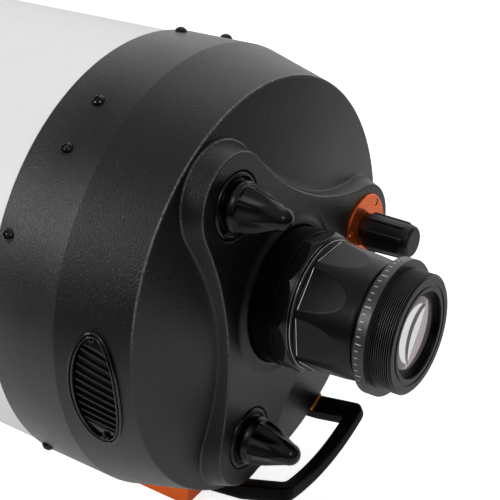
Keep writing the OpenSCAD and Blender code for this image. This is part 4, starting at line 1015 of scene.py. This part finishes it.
def reducer_body():
    """The reducer's tapered body: a turned cone with eight flats. A flat starts at a ledge near
    the foot, as deep as flat_sag, and its depth below the cone falls with the square of the
    distance until it runs out in a round end."""
    foot, taper_s, angle = LOCK_END + 1.8, 197, turns(720)
    wide, waist, gap_r, port_r, lens_r = 46.5, 42.3, 40.8, 38.1, 31
    flats, flat_sag, flat_len, flat_s = 8, 2.45, 30.0, foot + 2
    cone = np.linspace(flat_s + 0.25, taper_s - 0.2, 84)
    narrowing = (cone - foot - 3) * (wide - waist) / (taper_s - foot - 3)
    rows = np.concatenate([
        [(40.5, foot - 6), (40.9, foot - 6), (40.9, foot - 0.3), (41.2, foot), (wide - 1.0, foot),
         (wide - 0.45, foot + 0.08), (wide - 0.12, foot + 0.3), (wide, foot + 0.7),
         (wide, foot + 1.3), (wide, flat_s - 0.12), (wide - 0.02, flat_s)],
        np.stack([np.where(cone < foot + 3, wide, wide - narrowing), cone], 1),
        [(waist, taper_s + 0.4), (waist - 0.15, taper_s + 1.6), (waist - 0.3, taper_s + 2.6),
         (waist - 0.7, taper_s + 3.0), (gap_r + 0.3, taper_s + 3.1), (gap_r, taper_s + 3.5),
         (gap_r, INDEX_S), (gap_r - 2, INDEX_S), (port_r, INDEX_S - 0.2), (port_r, INDEX_S - 8.6),
         (34, INDEX_S - 8.7), (34, foot + 4), (lens_r, foot + 3.9), (lens_r, foot - 6)]])
    rho0, s = rows[:, :1], rows[:, 1:]
    plane = rho0 - flat_sag * (1 - ((s - flat_s) / flat_len) ** 2)
    plane = plane / np.cos(np.radians(off_axis(angle, flats)))[None]
    on_flat = (s >= flat_s - 0.01) & (s < flat_s + flat_len)
    rho = np.where(on_flat, least(rho0 + 0 * plane, plane, 0.06), rho0)
    thing = build("reducer_body_turning", round_about(rho, angle[None], s),
                  [grid_faces(len(rows), len(angle), loop=True)])
    stands_for(thing, body_finish, "reducer_body")


reducer_body()


def index_ring():
    """The index ring: a short turned ring with soft edges."""
    bore = 39.8
    profile = eased([(bore, INDEX_S), (INDEX_R, INDEX_S), (INDEX_R, INDEX_END), (bore, INDEX_END)],
                    0.55, 6)
    stands_for(lathe("index_ring_turning", profile, 360), scale_finish, "reducer_index_ring")


index_ring()


def nose():
    """The camera thread's sleeve: ten rounded crests, a soft front edge, an end face with one
    ring groove, and a stepped bore."""
    crest, pitch, crests, depth = 41.8, 1.5, 10, 1.2
    first, root = INDEX_END + 0.2, crest - depth
    port, lens_seat, spigot = 30.3, 35, 38
    # One crest, as shares of the pitch and of the depth
    share = np.array([0.06, 0.30, 0.38, 0.44, 0.56, 0.62, 0.70, 0.94])
    lift = np.array([0, 0.62, 0.93, 1.0, 1.0, 0.93, 0.62, 0])
    t = (np.arange(crests)[:, None] + share[None]).ravel()
    wave = np.stack([root + depth * np.tile(lift, crests), first + t * pitch], 1)
    face = eased([(root, first + crests * pitch - 0.05), (root - 0.4, NOSE_END),
                  (port + 5, NOSE_END), (port + 5, NOSE_END - 0.6), (port + 3, NOSE_END - 0.6),
                  (port + 3, NOSE_END), (port, NOSE_END), (port, INDEX_END + 8),
                  (lens_seat, INDEX_END + 8), (lens_seat, INDEX_S - 8.6), (spigot, INDEX_S - 8.6),
                  (spigot, INDEX_END), (root - 0.5, INDEX_END + 0.02)],
                 [0.3, 0.45, 0.2, 0.15, 0.15, 0.2, 0.6, 0.2, 0.2, 0.2, 0.2, 0.2, 0.1], 4,
                 loop=False)
    profile = np.concatenate([[(root, INDEX_END + 0.05)], wave, face])
    stands_for(lathe("camera_thread_sleeve", profile, 360), thread_finish, "reducer_nose")


nose()


def rear_lens():
    """The rear lens, a shallow cap whose height above its rim falls with the square of the
    radius, and the black ring with small steps that holds it."""
    rim, radius, sag = NOSE_END - 4.7, 26.0, 0.9
    r = np.linspace(radius - 0.4, 0, 24)
    cap = np.stack([r, rim + sag * (1 - (r / radius) ** 2)], 1)
    edge = [(0, rim - 6), (radius, rim - 6), (radius, rim - 0.4), (radius - 0.15, rim - 0.1)]
    lens = lathe("rear_lens_glass", np.concatenate([edge, cap]), loop=False, merge=0.002)
    stands_for(lens, lens_finish, "reducer_lens_rear")
    out, base = 30.2, NOSE_END - 12
    steps = eased([(out, base), (out, rim + 2.6), (29.3, rim + 2.6), (29.0, rim + 1.5),
                   (28.1, rim + 1.5), (27.8, rim + 0.6), (26.8, rim + 0.5), (25.8, rim + 0.1),
                   (25.8, rim - 0.6), (26.1, rim - 0.7), (26.1, base)], 0.15, 3)
    stands_for(lathe("rear_lens_retainer", steps), hub_finish, "reducer_lens_ring")


rear_lens()


# ---- Carry handle ----

def round_corner_path(corners, radius, steps=24, bend_steps=12):
    """Points along an open path of straight stretches joined by round corners, each a weighted
    quadratic curve that starts and ends at the radius from its corner."""
    c = np.asarray(corners, float)
    straight = np.linspace(0, 1, steps)[1:, None]
    t = np.linspace(0, 1, bend_steps + 1)[1:, None]
    pull = 2 * 0.62 * 1.2 * t * (1 - t)
    parts, last = [c[:1]], c[0]
    for before, corner, after in zip(c[:-2], c[1:-1], c[2:]):
        a = corner + (before - corner) / np.linalg.norm(before - corner) * radius
        b = corner + (after - corner) / np.linalg.norm(after - corner) * radius
        bend = ((1 - t) ** 2 * a + pull * corner + t**2 * b) / ((1 - t) ** 2 + pull + t**2)
        parts += [last + (a - last) * straight, bend]
        last = b
    return np.concatenate(parts + [last + (c[-1] - last) * straight])


def carry_handle():
    """A U-shaped handle that follows the cell: two outlines, the hand gap's and the outer one,
    are drawn on the developed cone with round corners. A soft-cornered section runs between
    them, and its lower and upper faces follow the foot and the bar that slopes inwards."""
    low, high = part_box("carry_handle")
    foot_s, end_s = station(high.y), station(low.y)
    turn, half, gap_half, grip = 274, 22.3, 16.5, 13
    spacer, thick, foot_t, slope = 3.5, 13, 9, 17
    gap_s = EDGE_S + 1.5
    gap_r = cone_r(gap_s) + spacer
    developed_r = 152
    arc = np.radians(1) * developed_r

    def outline(half_angle, rear_s, radius):
        """The path from one foot round to the other: arc length aside, and station."""
        x = half_angle * arc
        return round_corner_path([(-x, foot_s), (-x, rear_s), (x, rear_s), (x, foot_s)], radius)

    def lower(s):
        """Radius of the underside: on the foot it follows the cone, and the bar falls inwards."""
        return np.where(s < gap_s, cone_r(np.minimum(s, gap_s)) + spacer,
                        gap_r - (s - gap_s) * np.tan(np.radians(slope)))

    def depth(s):
        """Thickness, which grows in a straight line from the foot's end to the hand gap."""
        return foot_t + (thick - foot_t) * np.clip((s - foot_s) / (gap_s - foot_s), 0, 1)

    outer, inner = outline(half, end_s, 8), outline(gap_half, end_s - grip, 3.2)
    width = np.linalg.norm(outer - inner, axis=1)

    # The section: the outline that a point is measured from, its distance from that outline,
    # the face that it is measured from, and its height below the top or above the foot
    soft_in, soft_out, deep = 2.0, 1.6, 5.0
    q = np.radians(np.linspace(0, 90, 8))
    corner = np.stack([1 - np.cos(q), 1 - np.sin(q)], 1)
    section = [("in", d, "top", h) for d, h in corner * soft_in]
    section += [("in", soft_in * 1.3, "top", 0)]
    section += [("out", d, "top", h) for d, h in corner[::-1] * deep]
    section += [("out", 0, "top", deep * 1.15)]
    section += [("out", d, "foot", h) for d, h in corner * soft_out]
    section += [("in", d, "foot", h) for d, h in corner[::-1] * soft_in]
    along = []
    for edge, d, face, h in section:
        share = d / width if edge == "in" else 1 - d / width
        p = inner + (outer - inner) * share[:, None]
        s = p[:, 1]
        rho = lower(s) + (depth(s) - h if face == "top" else h)
        along.append(round_about(rho, turn + p[:, 0] / arc, s))
    grid = np.stack(along)
    thing = build("carry_handle_moulding", grid, [f[:, ::-1] for f in bar_faces(*grid.shape[:2])])
    work = bmesh.new()
    work.from_mesh(thing.data)
    bmesh.ops.recalc_face_normals(work, faces=work.faces)
    work.to_mesh(thing.data)
    work.free()
    stands_for(thing, handle_plastic, "carry_handle")


carry_handle()


# ---- Floor, lights and camera ----

ROOM_LIGHT, TOP_LIGHT = 0.06, 0.50
HEART = Vector((0.0, -0.25, AXIS_Z))

# Each lamp: azimuth and elevation in degrees, distance, width and height in metres, brightness
LAMPS = {
    "front_left_lamp": (147, 31, 2.0, 0.70, 0.70, 10.4),
    "overhead_lamp": (24, 48, 2.0, 1.8, 1.6, 0.95),
    "rear_lamp": (-127, 38, 2.2, 0.8, 0.8, 2.0),
    "small_bright_lamp": (-127, 40, 2.2, 0.16, 0.16, 30),
}

# The camera: focal length and sensor in millimetres, place in metres, and its two directions
LENS, SENSOR = 85.51, 36.0
CAMERA_AT = (-0.59003, -0.72966, 0.63292)
CAMERA_FORWARD, CAMERA_UP = (0.70226, 0.51198, -0.49468), (0.42817, 0.25139, 0.86803)


def white_surround(f, strength, reflected):
    """Makes a pale surface shine a little for the rays that see it directly or through glass, and
    a share of that in reflections, so that it is white and still takes the object's shadow."""
    seen, in_gloss, through = (f.node("ShaderNodeLightPath", out=f"Is {kind} Ray")
                               for kind in ("Camera", "Glossy", "Transmission"))
    amount = (seen + in_gloss * reflected + through).clipped()
    surface = Wire(f, f.shader.outputs[0])
    glow = f.node("ShaderNodeEmission", {}, Strength=strength)
    shining = f.node("ShaderNodeAddShader", {}, surface, glow)
    f.shown(f.node("ShaderNodeMixShader", {}, amount, surface, shining), "Material Output")


def staged(name, points, faces, finish):
    """A floor or backdrop made of points in metres, in the row frame."""
    mesh = bpy.data.meshes.new(name)
    mesh.from_pydata(points, [], faces)
    thing = bpy.data.objects.new(name, mesh)
    bpy.context.scene.collection.objects.link(thing)
    mesh.materials.append(finish.material)


def studio():
    """A pale table under the plate, a pale wall round the far side, and a soft room that is
    brighter towards its ceiling."""
    floor, far = (Finish(name, Roughness=0.9, Specular_IOR_Level=0.1)
                  for name in ("pale_floor", "pale_wall"))
    shine, just_under = 0.80, 0.0005
    for f, reflected in ((floor, 0.25), (far, 1.0)):
        f.give(Base_Color=f.mix(f.noise(900), grey(0.80), grey(0.82)))
        white_surround(f, shine, reflected)
    z = cad_box[0][2] - just_under
    staged("studio_floor", [(-0.8, -0.9, z), (6, -0.9, z), (6, 6, z), (-0.8, 6, z)],
           [(0, 1, 2, 3)], floor)
    wall_r, wall_y, wall_top, posts = 3.4, -0.1, 2.0, 29
    a = np.radians(np.linspace(-32, 80, posts))
    x, y = wall_r * np.cos(a), wall_y + wall_r * np.sin(a)
    wall = np.concatenate([np.stack([x, y, 0 * a + up], 1) for up in (z, wall_top)])
    k = np.arange(posts - 1)
    faces = np.stack([k + 1, k, k + posts, k + posts + 1], 1)
    staged("studio_wall", wall.tolist(), faces.tolist(), far)

    world = bpy.data.worlds.new("studio_room")
    bpy.context.scene.world = world
    world.use_nodes = True
    room = Nodes(world.node_tree)
    height = room.parts(room.node("ShaderNodeTexCoord", out="Generated"))[2]
    strength = room.node("ShaderNodeMapRange", {}, height, 0.0, 1.0, ROOM_LIGHT,
                         ROOM_LIGHT + TOP_LIGHT)
    soft, white = (room.node("ShaderNodeBackground", {}, (1, 1, 1, 1), s) for s in (strength, 1.0))
    seen = room.node("ShaderNodeLightPath", out="Is Camera Ray")
    room.shown(room.node("ShaderNodeMixShader", {}, seen, soft, white), "World Output")


def soft_lamp(name, azimuth, elevation, distance, width, height, radiance):
    """A rectangular lamp in a direction from the object's heart, aimed at it. Its power is pi
    times its area and the brightness at which it is seen."""
    lamp = bpy.data.lights.new(name, "AREA")
    lamp.shape, lamp.size, lamp.size_y = "RECTANGLE", width, height
    lamp.energy = np.pi * width * height * radiance
    thing = bpy.data.objects.new(name, lamp)
    bpy.context.scene.collection.objects.link(thing)
    a, e = np.radians(azimuth), np.radians(elevation)
    back = Vector((np.cos(a) * np.cos(e), np.sin(a) * np.cos(e), np.sin(e)))
    side = Vector((0, 0, 1)).cross(back).normalized()
    thing.matrix_world = Matrix.Translation(HEART + distance * back) @ Matrix(
        (side, back.cross(side), back)).transposed().to_4x4()


def view_camera():
    """The camera, turned so that it looks forward along its own -z with up along its y."""
    camera = bpy.data.cameras.new("view_camera")
    camera.lens, camera.sensor_width, camera.clip_start, camera.clip_end = LENS, SENSOR, 0.01, 100
    viewer = bpy.data.objects.new("view_camera", camera)
    bpy.context.scene.collection.objects.link(viewer)
    forward = Vector(CAMERA_FORWARD)
    right = forward.cross(Vector(CAMERA_UP)).normalized()
    up = right.cross(forward).normalized()
    turned = Matrix((right, up, -forward)).transposed().to_4x4()
    viewer.matrix_world = Matrix.Translation(CAMERA_AT) @ turned
    bpy.context.scene.camera = viewer


studio()
for name, sizes in LAMPS.items():
    soft_lamp(name, *sizes)
view_camera()
bpy.context.scene.view_settings.view_transform = "Standard"
